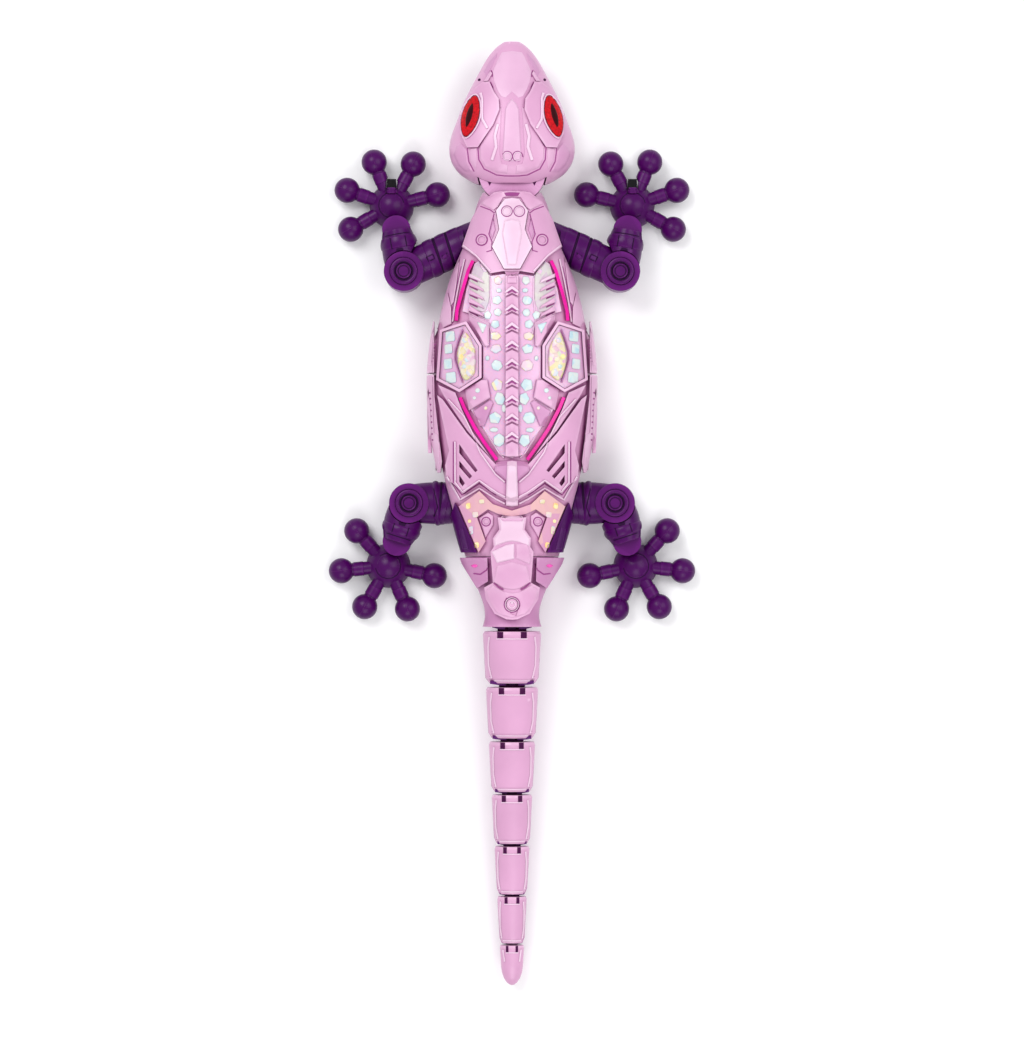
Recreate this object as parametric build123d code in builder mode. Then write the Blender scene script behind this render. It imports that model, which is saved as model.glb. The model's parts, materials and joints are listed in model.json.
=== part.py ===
from build123d import *

# Light-up crawling gecko toy: armoured pink body, purple jointed limbs and a swinging tail.
#
# Millimetres, +Z up, +Y towards the snout, origin on the floor under the middle of the toy.
# Right-hand pieces are built first and mirrored across the YZ plane for the left.

import os
from functools import lru_cache
from math import acos, asin, atan2, cos, degrees, pi, radians, sin, tan
from typing import NamedTuple

os.makedirs("parts", exist_ok=True)

# ---------------------------------------------------------------- driving dimensions
# Overall form
head_length = 67.7
head_half_width = 29.7
head_crown_z = 42.0
head_chin_z = 13.0
neck_gap = 4.1
trunk_length = 205.4
trunk_half_width = 37.5
trunk_crown_z = 48.0
belly_z = 6.0
parting_z = 24.0

# Walls and clearances
wall = 2.0
fixed_gap = 0.2
running_gap = 0.4
pivot_gap = 0.08
opening_gap = 0.7

# Neck
neck_radius = 16.0
neck_bottom_z = 19.0
neck_top_z = 33.0
neck_setback = 6.0
spigot_radius = 4.0
spigot_length = 2.5
spigot_boss_radius = 6.5

# Where the rear cover starts, as the length of the trunk shells in front of it
shell_length = 172.0

# Limbs
limb_z = 17.0
limb_half_height = 8.6
limb_swing = 8.0
root_ring_radius = 7.0
root_ring_height = 13.0
post_radius = 3.0
post_foot_radius = 5.0
elbow_radius = 9.4
elbow_half_height = 9.0
elbow_fold = 8.0
elbow_pin_radius = 2.6
elbow_cap_radius = 6.4
elbow_cap_recess = 1.6
elbow_cap_rise = 0.5
elbow_button_radius = 3.6
wrist_radius = 6.8
wrist_top_z = 20.5
wrist_pin_radius = 2.2
wrist_pin_length = 8.0

# Feet
foot_offset = 12.5
foot_swivel = 15.0
hub_radius = 10.6
hub_bottom_z = 1.0
hub_rim_z = 4.5
hub_top_z = 12.8
lug_radius = 6.2
lug_top_z = 12.2
toe_reach = 22.5
toe_radius = 6.05
toe_stem_radius = 3.2
roller_radius = 5.5
roller_width = 4.2
roller_forward = 7.4
roller_axle_radius = 1.0
roller_axle_length = 10.0
roller_side_gap = 0.6

# Tail
tail_joints = 6
tail_first_pitch = 26.8
tail_pitch_step = 0.65
tail_tip_length = 20.4
tail_root_half_width = 14.0
tail_taper = 0.0539
tail_flatness = 0.8
tail_root_z = 22.0
tail_droop = 0.085
tail_wall = 1.4
tail_swing = 8.0
tail_gap_extra = 0.3
tail_corner_length = 2.5
tail_front_share = 0.94
tail_rear_share = 0.87
tip_round_length = 9.0
tongue_height_share = 0.3
tongue_base_half_width = 1.4
tongue_width_share = 0.2
tongue_pin_share = 0.42
tongue_setback = 4.2

# Back plates: how far each stands above the back
plate_low = fixed_gap
window_top = 1.4
pipe_top = 1.7
band_top = 2.0
skirt_top = 2.8
shoulder_top = 3.0
crest_top = 5.0
pod_top = 3.4
hip_plate_top = 3.0
spine_top = 3.4
rump_window_top = 1.8
rump_cover_top = 4.5
wing_top = 3.0
bracket_top = 1.6
pipe_width = 1.6
spine_half_width = 3.0
chevron_pitch = 8.6
chevron_groove = 0.9
chevron_depth = 0.8
skirt_drop = 13.0
bezel_width = 1.5
surround_top = 1.6

# Power button
button_radius = 2.6
button_flange_radius = 3.4
button_flange_height = 1.0
button_travel = 0.8
button_rise = 0.5
button_from_tail = 10.7

# Eyes
eye_half_length = 10.0
eye_half_width = 4.0
eye_rise = 2.6
eye_turn = 14.0
eye_side = 0.663
eye_back = 0.539

# Battery box, door and board
cell_radius = 7.1
cell_length = 50.0
cell_count = 3
cell_pitch = 14.6
cell_nub_radius = 2.6
cell_nub_length = 1.2
box_wall = 1.6
box_gap = 0.5
box_roof = 1.0
box_front_from_neck = 80.0
door_thickness = 1.8
door_ledge = 1.1
board_thickness = 1.6
board_length = 56.0
board_width = 42.0
standoff_height = 3.6
standoff_radius = 2.0
led_radius = 2.4
led_height = 4.0

# Screws and their posts
screw_radius = 1.1
screw_fit = 0.05
screw_head_radius = 2.0
screw_head_height = 1.0
screw_length = 11.0
screw_grip = 3.0
screw_post_radius = 3.6
door_screw_length = 7.0

# Drive
motor_radius = 10.0
motor_half_height = 7.5
motor_length = 25.0
motor_end_x = 10.0
motor_from_neck = 42.0
motor_z = 18.0
shaft_radius = 1.0
gear_module = 0.8
pinion_teeth = 10
wheel_teeth = 32
gear_width = 3.8
gear_gap_to_frame = 0.6
gear_backlash = 0.25
pinion_addendum = 0.8
wheel_addendum = 0.6
dedendum = 1.2
pressure_angle = 20.0
gear_lift = 7.6
frame_wall = 1.6
axle_radius = 1.5
crank_offset = 8.0
crank_pin_radius = 1.5
crank_pin_length = 1.2
frame_margin = 6.5
frame_rise = 4.0

# ---------------------------------------------------------------- derived places
tail_pitches = [tail_first_pitch - i * tail_pitch_step for i in range(tail_joints)]
total_length = head_length + neck_gap + trunk_length + sum(tail_pitches) + tail_tip_length
snout_y = total_length / 2
head_back_y = snout_y - head_length
trunk_front_y = head_back_y - neck_gap
trunk_rear_y = trunk_front_y - trunk_length
shell_rear_y = trunk_front_y - shell_length
neck_y = head_back_y + neck_setback
button_y = trunk_rear_y + button_from_tail
tall = trunk_crown_z + crest_top


class Station(NamedTuple):
    """A cross-section: where it is along Y, and its half width, height and depth from the parting."""

    y: float
    half_width: float
    crown: float
    depth: float


TRUNK_SHARES = [
    (0.000, 0.37, 0.42, 0.50),
    (0.058, 0.49, 0.58, 0.72),
    (0.121, 0.61, 0.72, 0.88),
    (0.197, 0.78, 0.84, 1.02),
    (0.277, 0.90, 0.94, 1.03),
    (0.410, 1.00, 1.00, 1.03),
    (0.545, 0.97, 0.97, 1.03),
    (0.645, 0.87, 0.88, 1.03),
    (0.720, 0.77, 0.76, 1.00),
    (0.832, 0.60, 0.58, 0.88),
    (0.915, 0.43, 0.45, 0.78),
    (1.000, 0.373, 0.375, 0.72),
]
HEAD_SHARES = [
    (0.004, 0.12, 0.12, 0.12),
    (0.040, 0.24, 0.26, 0.27),
    (0.130, 0.41, 0.43, 0.46),
    (0.280, 0.60, 0.63, 0.66),
    (0.420, 0.76, 0.79, 0.80),
    (0.560, 0.88, 0.92, 0.92),
    (0.667, 0.97, 0.98, 0.98),
    (0.775, 1.00, 1.00, 1.00),
    (0.883, 0.92, 0.94, 0.95),
    (0.947, 0.78, 0.82, 0.86),
    (1.000, 0.57, 0.62, 0.70),
]
trunk_stations = [
    Station(
        trunk_front_y - share * trunk_length,
        width * trunk_half_width,
        crown * (trunk_crown_z - parting_z),
        depth * (parting_z - belly_z),
    )
    for share, width, crown, depth in TRUNK_SHARES
]
head_stations = [
    Station(
        snout_y - share * head_length,
        width * head_half_width,
        crown * (head_crown_z - parting_z),
        depth * (parting_z - head_chin_z),
    )
    for share, width, crown, depth in HEAD_SHARES
]


def section_at(stations, y):
    """The cross-section at y, straight between its two neighbours."""
    for ahead, behind in zip(stations, stations[1:]):
        if ahead.y >= y >= behind.y:
            share = (ahead.y - y) / (ahead.y - behind.y)
            return Station(*(a + share * (b - a) for a, b in zip(ahead, behind)))
    return stations[0] if y > stations[0].y else stations[-1]


def inset(stations, thickness):
    """The same form, smaller by thickness all round and at both ends."""
    first, last = stations[0].y - thickness, stations[-1].y + thickness
    kept = [s for s in stations if last < s.y < first]
    ends = section_at(stations, first), section_at(stations, last)
    return [ends[0], *kept, ends[1]]


def across(y, z=parting_z):
    """The upright plane that looks along Y: local x is +X and local y is +Z."""
    return Plane(origin=(0, y, z), x_dir=(1, 0, 0), z_dir=(0, -1, 0))


def dome_form(stations, grow):
    """The closed upper half of a body: half ellipses standing on the parting plane."""
    with BuildPart() as form:
        for station in stations:
            with BuildSketch(across(station.y)):
                with BuildLine():
                    width = station.half_width + grow
                    EllipticalCenterArc((0, 0), width, station.crown + grow, 0, arc_size=180)
                    Line((-width, 0), (width, 0))
                make_face()
        loft()
    return form.part


def keel_form(stations, grow, flat_share=0.75):
    """The closed lower half: a flat floor with elliptical corners, below the parting plane."""
    with BuildPart() as form:
        for station in stations:
            width, depth = station.half_width + grow, station.depth + grow
            flat = flat_share * width
            corner = width - flat
            with BuildSketch(across(station.y)):
                with BuildLine():
                    Line((-width, 0), (width, 0))
                    EllipticalCenterArc((flat, 0), corner, depth, 270, arc_size=90)
                    Line((flat, -depth), (-flat, -depth))
                    EllipticalCenterArc((-flat, 0), corner, depth, 180, arc_size=90)
                make_face()
        loft()
    return form.part


@lru_cache(maxsize=None)
def trunk_dome(grow=0.0):
    """The trunk's upper half, grown outwards, or hollow-sized where grow is negative."""
    stations = inset(trunk_stations, -grow) if grow < 0 else trunk_stations
    return dome_form(stations, grow)


@lru_cache(maxsize=None)
def trunk_keel(grow=0.0):
    """The trunk's lower half."""
    stations = inset(trunk_stations, -grow) if grow < 0 else trunk_stations
    return keel_form(stations, grow)


@lru_cache(maxsize=None)
def trunk_band(low, high):
    """The space between two heights above the back."""
    with BuildPart() as band:
        add(trunk_dome(high))
        add(trunk_dome(low), mode=Mode.SUBTRACT)
    return band.part


@lru_cache(maxsize=None)
def head_dome(grow=0.0):
    """The head's upper half."""
    stations = inset(head_stations, -grow) if grow < 0 else head_stations
    return dome_form(stations, grow)


@lru_cache(maxsize=None)
def head_keel(grow=0.0):
    """The head's lower half."""
    stations = inset(head_stations, -grow) if grow < 0 else head_stations
    return keel_form(stations, grow)


def on_back(points):
    """Points given as shares of the trunk's half width and length, as x and y."""
    return [(u * trunk_half_width, trunk_front_y - v * trunk_length) for u, v in points]


def on_head(points):
    """Points given as shares of the head's half width and length, as x and y."""
    return [(u * head_half_width, snout_y - v * head_length) for u, v in points]


def both_halves(points):
    """A half outline that starts and ends on the centre line, closed with its mirror image."""
    return points + [(-x, y) for x, y in reversed(points) if x > 0]


def mirrored(points):
    """The same outline on the other side."""
    return [(-x, y) for x, y in points]


def outline_face(points):
    """A filled outline in the sketch being built."""
    with BuildLine() as edge:
        Polyline(*points, close=True)
    make_face(edge.edges())


def column(points, bottom, top):
    """An upright prism over an outline."""
    with BuildPart() as prism:
        with BuildSketch(Plane.XY.offset(bottom)):
            outline_face(points)
        extrude(amount=top - bottom)
    return prism.part


def draped(outlines, low, high):
    """Plates that follow the back, one for each outline, between two heights above it."""
    with BuildPart() as plates:
        add(trunk_band(low, high))
        with BuildSketch(Plane.XY.offset(parting_z)):
            for points in outlines:
                outline_face(points)
        extrude(amount=tall, mode=Mode.INTERSECT)
    return plates.part


def finish(part, name):
    """Labels a piece and writes it."""
    part.label = name
    export_step(part, f"parts/{name}.step")


# ---------------------------------------------------------------- outlines on the back
shoulder_outline = both_halves(on_back([
    (0, -0.004), (0.23, 0.003), (0.39, 0.026), (0.51, 0.062), (0.63, 0.126), (0.45, 0.152),
    (0.27, 0.191), (0.11, 0.186), (0, 0.187),
]))
crest_outline = both_halves(on_back([
    (0, 0.017), (0.09, 0.019), (0.20, 0.046), (0.16, 0.09), (0.25, 0.13), (0.10, 0.181), (0, 0.181),
]))
window_outline = both_halves(on_back([
    (0, 0.193), (0.11, 0.193), (0.27, 0.197), (0.42, 0.162), (0.47, 0.168), (0.57, 0.226),
    (0.62, 0.277), (0.52, 0.283), (0.36, 0.361), (0.36, 0.43), (0.57, 0.462), (0.51, 0.504),
    (0.33, 0.553), (0.16, 0.605), (0, 0.612),
]))
pod_outline = on_back([
    (0.87, 0.324), (0.59, 0.309), (0.42, 0.358), (0.42, 0.426), (0.66, 0.454), (0.91, 0.429),
])
hip_plate_outline = both_halves(on_back([
    (0, 0.628), (0.20, 0.628), (0.56, 0.557), (0.87, 0.478), (0.94, 0.468), (0.86, 0.536),
    (0.79, 0.595), (0.84, 0.629), (0.82, 0.662), (0.73, 0.672), (0.61, 0.693), (0.41, 0.667),
    (0.27, 0.688), (0.07, 0.709), (0, 0.709),
]))
hip_slots = [
    on_back([(0.66, 0.581), (0.43, 0.641), (0.46, 0.645), (0.66, 0.601)]),
    on_back([(0.66, 0.619), (0.50, 0.654), (0.53, 0.660), (0.66, 0.633)]),
    on_back([(0.66, 0.651), (0.59, 0.670), (0.62, 0.677), (0.66, 0.667)]),
]
band_outline = on_back([
    (0.93, 0.444), (0.71, 0.463), (0.63, 0.501), (0.50, 0.551), (0.24, 0.619), (0.56, 0.550), (0.85, 0.472),
])
rump_window_outline = both_halves(on_back([
    (0, 0.733), (0.24, 0.718), (0.41, 0.688), (0.67, 0.723), (0.42, 0.829), (0.33, 0.803),
    (0.44, 0.748), (0.30, 0.730), (0.17, 0.741), (0, 0.746),
]))
rump_cover_outline = both_halves(on_back([
    (0, 0.751), (0.18, 0.748), (0.16, 0.776), (0.24, 0.796), (0.23, 0.816), (0.27, 0.827),
    (0.24, 0.898), (0.35, 0.909), (0.33, 0.936), (0.22, 0.969), (0.07, 0.982), (0, 0.983),
]))
wing_outline = on_back([
    (0.66, 0.841), (0.65, 0.851), (0.44, 0.912), (0.39, 0.905), (0.30, 0.895), (0.31, 0.841),
])
bracket_outline = on_back([(0.72, 0.715), (0.80, 0.760), (0.68, 0.829), (0.44, 0.829), (0.69, 0.723)])
pipe_routes = [
    on_back([(0.49, 0.160), (0.55, 0.183), (0.63, 0.233), (0.69, 0.275), (0.70, 0.298)]),
    on_back([(0.65, 0.474), (0.60, 0.497), (0.47, 0.542), (0.35, 0.576), (0.19, 0.617)]),
]
skirt_outlines = [
    on_back([(0.98, 0.297), (1.20, 0.290), (1.20, 0.416), (0.98, 0.416)]),
    on_back([
        (0.98, 0.421), (1.20, 0.421), (1.20, 0.645), (0.90, 0.645), (0.88, 0.62), (0.94, 0.53),
        (0.975, 0.47),
    ]),
]
surround_outline = on_head([
    (0.358, 0.297), (0.285, 0.372), (0.211, 0.420), (0.198, 0.496), (0.296, 0.603), (0.541, 0.759),
    (0.712, 0.759), (0.822, 0.657), (0.82, 0.533), (0.735, 0.421), (0.576, 0.330), (0.464, 0.297),
])


# ---------------------------------------------------------------- limbs
class Limb(NamedTuple):
    """One leg on the right-hand side: its pivots in plan and the sizes that differ front to back."""

    name: str
    pivot: tuple
    upper_length: float
    upper_angle: float
    lower_length: float
    lower_angle: float
    foot_angle: float
    upper_half_widths: tuple
    lower_half_widths: tuple
    toe_centre: float
    toe_spacing: float
    has_roller: bool


def reached(start, length, angle):
    """The point at a distance and direction from start, in plan."""
    return (start[0] + length * cos(radians(angle)), start[1] + length * sin(radians(angle)))


front_leg = Limb(
    "front", (14.0, trunk_front_y - 18.9), 41.5, -26.0, 20.3, 79.8, 78.0,
    (7.6, 8.6, 8.2), (7.6, 8.6, 6.8), 68.3, 49.0, True,
)
rear_leg = Limb(
    "rear", (20.0, shell_rear_y + 25.1), 28.8, 0.0, 19.1, -72.3, -69.0,
    (8.6, 10.0, 8.8), (8.0, 9.2, 6.8), -60.0, 54.0, False,
)


def elbow_of(leg):
    return reached(leg.pivot, leg.upper_length, leg.upper_angle)


def wrist_of(leg):
    return reached(elbow_of(leg), leg.lower_length, leg.lower_angle)


def hub_of(leg):
    return reached(wrist_of(leg), foot_offset, leg.foot_angle)


def along(point, angle, z=limb_z):
    """The upright plane across a limb, with its normal along the limb and local y up."""
    a = radians(angle)
    return Plane(origin=(*point, z), x_dir=(-sin(a), cos(a), 0), z_dir=(cos(a), sin(a), 0))


def disc(point, radius, bottom, top):
    """An upright cylinder."""
    with BuildPart() as cylinder:
        with BuildSketch(Plane.XY.offset(bottom)):
            with Locations(point):
                Circle(radius)
        extrude(amount=top - bottom)
    return cylinder.part


def limb_tube(start, angle, length, half_widths, grow=0.0):
    """A swelling tube along a limb, from start to length."""
    with BuildPart() as tube:
        stretch = length / (len(half_widths) - 1)
        for i, half_width in enumerate(half_widths):
            with BuildSketch(along(start, angle).offset(i * stretch)):
                Ellipse(half_width + grow, limb_half_height + grow - 0.4 * (i != 1))
        loft()
    return tube.part


@lru_cache(maxsize=None)
def limb_clearance(leg):
    """The space that an upper limb sweeps through as it swings, with its gap, on both sides."""
    pivot_axis = Axis((*leg.pivot, 0), (0, 0, 1))
    tube = limb_tube(leg.pivot, leg.upper_angle, leg.upper_length, leg.upper_half_widths, opening_gap)
    ring = disc(
        leg.pivot,
        root_ring_radius + opening_gap,
        limb_z - root_ring_height / 2 - opening_gap,
        limb_z + root_ring_height / 2 + opening_gap,
    )
    with BuildPart() as space:
        add(ring)
        for step in (-2, -1, 0, 1, 2):
            add(tube.rotate(pivot_axis, step * limb_swing / 2))
        mirror(about=Plane.YZ)
    return space.part


def make_upper_limb(leg):
    """Upper arm or thigh: ring on the body's post, tube, and the elbow's upper disc."""
    elbow = elbow_of(leg)
    with BuildPart() as limb:
        add(limb_tube(leg.pivot, leg.upper_angle, leg.upper_length, leg.upper_half_widths))
        add(disc(elbow, elbow_radius, limb_z, limb_z + elbow_half_height))
        # clear the tube from around the post, then put the ring there
        for bottom, top in (
            (limb_z - limb_half_height - wall, limb_z - root_ring_height / 2),
            (limb_z + root_ring_height / 2, limb_z + limb_half_height + wall),
        ):
            add(disc(leg.pivot, root_ring_radius + wall, bottom, top), mode=Mode.SUBTRACT)
        add(
            disc(
                leg.pivot,
                root_ring_radius,
                limb_z - root_ring_height / 2,
                limb_z + root_ring_height / 2,
            )
        )
        bore_top = limb_z + root_ring_height
        add(disc(leg.pivot, post_radius + pivot_gap, 0, bore_top), mode=Mode.SUBTRACT)
        # the forearm's disc turns in the lower half of the elbow
        lower_disc = disc(elbow, elbow_radius + running_gap, 0, limb_z + running_gap / 2)
        add(lower_disc, mode=Mode.SUBTRACT)
        cap_seat_z = limb_z + elbow_half_height - elbow_cap_recess
        add(disc(elbow, elbow_cap_radius + fixed_gap, cap_seat_z, tall), mode=Mode.SUBTRACT)
        add(disc(elbow, elbow_pin_radius + fixed_gap / 2, 0, tall), mode=Mode.SUBTRACT)
    return limb.part


def make_elbow_cap(leg):
    """Round cap with a raised centre, on the pin that the elbow turns on."""
    elbow = elbow_of(leg)
    seat_z = limb_z + elbow_half_height - elbow_cap_recess + fixed_gap / 2
    face_z = limb_z + elbow_half_height + elbow_cap_rise
    with BuildPart() as cap:
        add(disc(elbow, elbow_cap_radius, seat_z, face_z))
        groove = disc(elbow, elbow_button_radius + running_gap, face_z - elbow_cap_rise, face_z)
        add(groove, mode=Mode.SUBTRACT)
        add(disc(elbow, elbow_button_radius, face_z - elbow_cap_rise, face_z + elbow_cap_rise / 2))
        add(disc(elbow, elbow_pin_radius, limb_z - elbow_half_height + wall, seat_z))
    return cap.part


def make_lower_limb(leg):
    """Forearm or shin: the elbow's lower disc, a tube that fills out beyond it, and the wrist."""
    elbow, wrist, hub = elbow_of(leg), wrist_of(leg), hub_of(leg)
    elbow_axis = Axis((*elbow, 0), (0, 0, 1))
    wrist_floor_z = hub_top_z + running_gap
    disc_bottom = limb_z - elbow_half_height
    disc_top = limb_z - running_gap / 2
    upper_tube = limb_tube(
        leg.pivot, leg.upper_angle, leg.upper_length, leg.upper_half_widths, running_gap
    )
    with BuildPart() as limb:
        add(limb_tube(elbow, leg.lower_angle, leg.lower_length, leg.lower_half_widths))
        add(disc(wrist, wrist_radius, wrist_floor_z, wrist_top_z))
        with BuildSketch(along(elbow, leg.lower_angle, (disc_bottom + disc_top) / 2)):
            Rectangle(elbow_radius, disc_top - disc_bottom)
        extrude(amount=elbow_radius + wall)
        # room for the upper limb at each fold of the elbow, and for its disc
        for step in (-1, 0, 1):
            add(upper_tube.rotate(elbow_axis, step * elbow_fold), mode=Mode.SUBTRACT)
        upper_disc = disc(elbow, elbow_radius + running_gap, disc_top, tall)
        add(upper_disc, mode=Mode.SUBTRACT)
        add(disc(elbow, elbow_radius, disc_bottom, disc_top))
        add(disc(elbow, elbow_pin_radius + pivot_gap, 0, tall), mode=Mode.SUBTRACT)
        # room for the foot under the wrist
        add(disc(wrist, lug_radius + wall, 0, wrist_floor_z), mode=Mode.SUBTRACT)
        for step in (-1, 0, 1):
            swept_hub = reached(wrist, foot_offset, leg.foot_angle + step * foot_swivel)
            add(disc(swept_hub, hub_radius + running_gap, 0, wrist_floor_z), mode=Mode.SUBTRACT)
        add(disc(wrist, wrist_pin_radius, wrist_floor_z - wrist_pin_length, wrist_floor_z))
    return limb.part


def make_foot(leg):
    """Domed hub with five ball-tipped toes, a lug under the wrist, and a pocket for the roller."""
    wrist, hub = wrist_of(leg), hub_of(leg)
    hub_plane = Plane(origin=(*hub, 0), x_dir=(1, 0, 0), z_dir=(0, -1, 0))
    dome_height = hub_top_z - hub_rim_z
    dome_radius = (hub_radius**2 + dome_height**2) / (2 * dome_height)
    lean = asin(min(1, hub_radius / dome_radius)) / 2
    halfway_up = (dome_radius * sin(lean), hub_top_z - dome_radius * (1 - cos(lean)))
    with BuildPart() as foot:
        with BuildSketch(hub_plane):
            with BuildLine():
                Line((0, hub_bottom_z), (hub_radius, hub_bottom_z))
                Line((hub_radius, hub_bottom_z), (hub_radius, hub_rim_z))
                ThreePointArc((hub_radius, hub_rim_z), halfway_up, (0, hub_top_z))
                Line((0, hub_top_z), (0, hub_bottom_z))
            make_face()
        revolve(axis=Axis((*hub, 0), (0, 0, 1)))
        for i in range(-2, 3):
            angle = leg.toe_centre + i * leg.toe_spacing
            with BuildSketch(along(hub, angle, toe_radius).offset(hub_radius / 2)):
                Circle(toe_stem_radius)
            extrude(amount=toe_reach - hub_radius / 2)
            with Locations(along(hub, angle, toe_radius).offset(toe_reach)):
                Sphere(toe_radius)
        add(disc(wrist, lug_radius, hub_bottom_z + 0.5, lug_top_z))
        pin_floor_z = hub_top_z + running_gap - wrist_pin_length - running_gap
        add(disc(wrist, wrist_pin_radius + pivot_gap, pin_floor_z, tall), mode=Mode.SUBTRACT)
        if leg.has_roller:
            pocket = roller_radius + running_gap
            centre = (hub[0], hub[1] + roller_forward, roller_radius)
            with Locations(centre):
                Cylinder(
                    pocket, roller_width + 2 * roller_side_gap, rotation=(0, 90, 0), mode=Mode.SUBTRACT
                )
            with Locations((centre[0], centre[1], 0)):
                Box(roller_width + 2 * roller_side_gap, 2 * pocket, 2 * roller_radius, mode=Mode.SUBTRACT)
            with Locations(centre):
                Cylinder(
                    roller_axle_radius + pivot_gap,
                    roller_axle_length + running_gap,
                    rotation=(0, 90, 0),
                    mode=Mode.SUBTRACT,
                )
    return foot.part


def make_roller(leg):
    """Rubber-edged wheel with stub axles, across the direction of travel."""
    hub = hub_of(leg)
    with BuildPart() as roller:
        with Locations((hub[0], hub[1] + roller_forward, roller_radius)):
            Cylinder(roller_radius, roller_width, rotation=(0, 90, 0))
            Cylinder(roller_axle_radius, roller_axle_length, rotation=(0, 90, 0))
    return roller.part


def left_of(part):
    """The left-hand copy of a right-hand piece."""
    with BuildPart() as copy:
        add(part)
        mirror(about=Plane.YZ, mode=Mode.REPLACE)
    return copy.part



# ---------------------------------------------------------------- trunk
def strip(points, width):
    """The outline of a band of even width along a bent line."""
    left, right = [], []
    for i, (x, y) in enumerate(points):
        before, after = points[max(i - 1, 0)], points[min(i + 1, len(points) - 1)]
        run_x, run_y = after[0] - before[0], after[1] - before[1]
        run = (run_x**2 + run_y**2) ** 0.5
        side_x, side_y = -run_y / run * width / 2, run_x / run * width / 2
        left.append((x + side_x, y + side_y))
        right.append((x - side_x, y - side_y))
    return left + right[::-1]


def both_sides(outlines):
    """Outlines on the right, and the same ones on the left."""
    return [points for outline in outlines for points in (outline, mirrored(outline))]


def grown(outline, amount):
    """An upright prism over an outline that is larger all round."""
    with BuildPart() as prism:
        with BuildSketch():
            outline_face(outline)
            offset(amount=amount, kind=Kind.INTERSECTION)
        extrude(amount=2 * tall)
    return prism.part


def slab(rear, front, bottom, top):
    """A block across the whole toy between two places along Y and two heights."""
    with BuildPart() as block:
        with BuildSketch(Plane.XY.offset(bottom)):
            with Locations((0, (front + rear) / 2)):
                Rectangle(6 * trunk_half_width, front - rear)
        extrude(amount=top - bottom)
    return block.part


neck_place = (0, neck_y)
box_front_y = trunk_front_y - box_front_from_neck
box_half_width = (cell_count - 1) / 2 * cell_pitch + cell_radius + box_gap
box_rear_y = box_front_y - cell_length - 2 * box_gap
cell_z = belly_z + door_thickness + box_gap + cell_radius
box_top_z = cell_z + cell_radius + box_gap
door_screw_y = box_front_y + box_wall + screw_post_radius
door_tab_y = door_screw_y + screw_post_radius
motor_y = trunk_front_y - motor_from_neck
gear_x = motor_end_x + frame_wall + 2 * gear_gap_to_frame
gear_distance = gear_module * (pinion_teeth + wheel_teeth) / 2
wheel_y = motor_y - (gear_distance**2 - gear_lift**2) ** 0.5
wheel_z = motor_z + gear_lift
floor_z = belly_z + wall
screw_places = [(24.0, box_front_y + 28.0), (10.0, shell_rear_y + 11.0)]
screw_places += mirrored(screw_places)
screw_head_z = parting_z + screw_grip - screw_length
leg_posts = [leg.pivot for leg in (front_leg, rear_leg)]
leg_posts += mirrored(leg_posts)
ring_bottom_z = limb_z - root_ring_height / 2
ring_top_z = limb_z + root_ring_height / 2
standoffs = [
    (
        x * (board_width / 2 - 2 * standoff_radius),
        box_front_y - box_gap - y * (cell_length - 2 * standoff_radius),
    )
    for x in (-1, 1)
    for y in (0.05, 0.95)
]
board_z = box_top_z + box_roof + standoff_height

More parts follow.
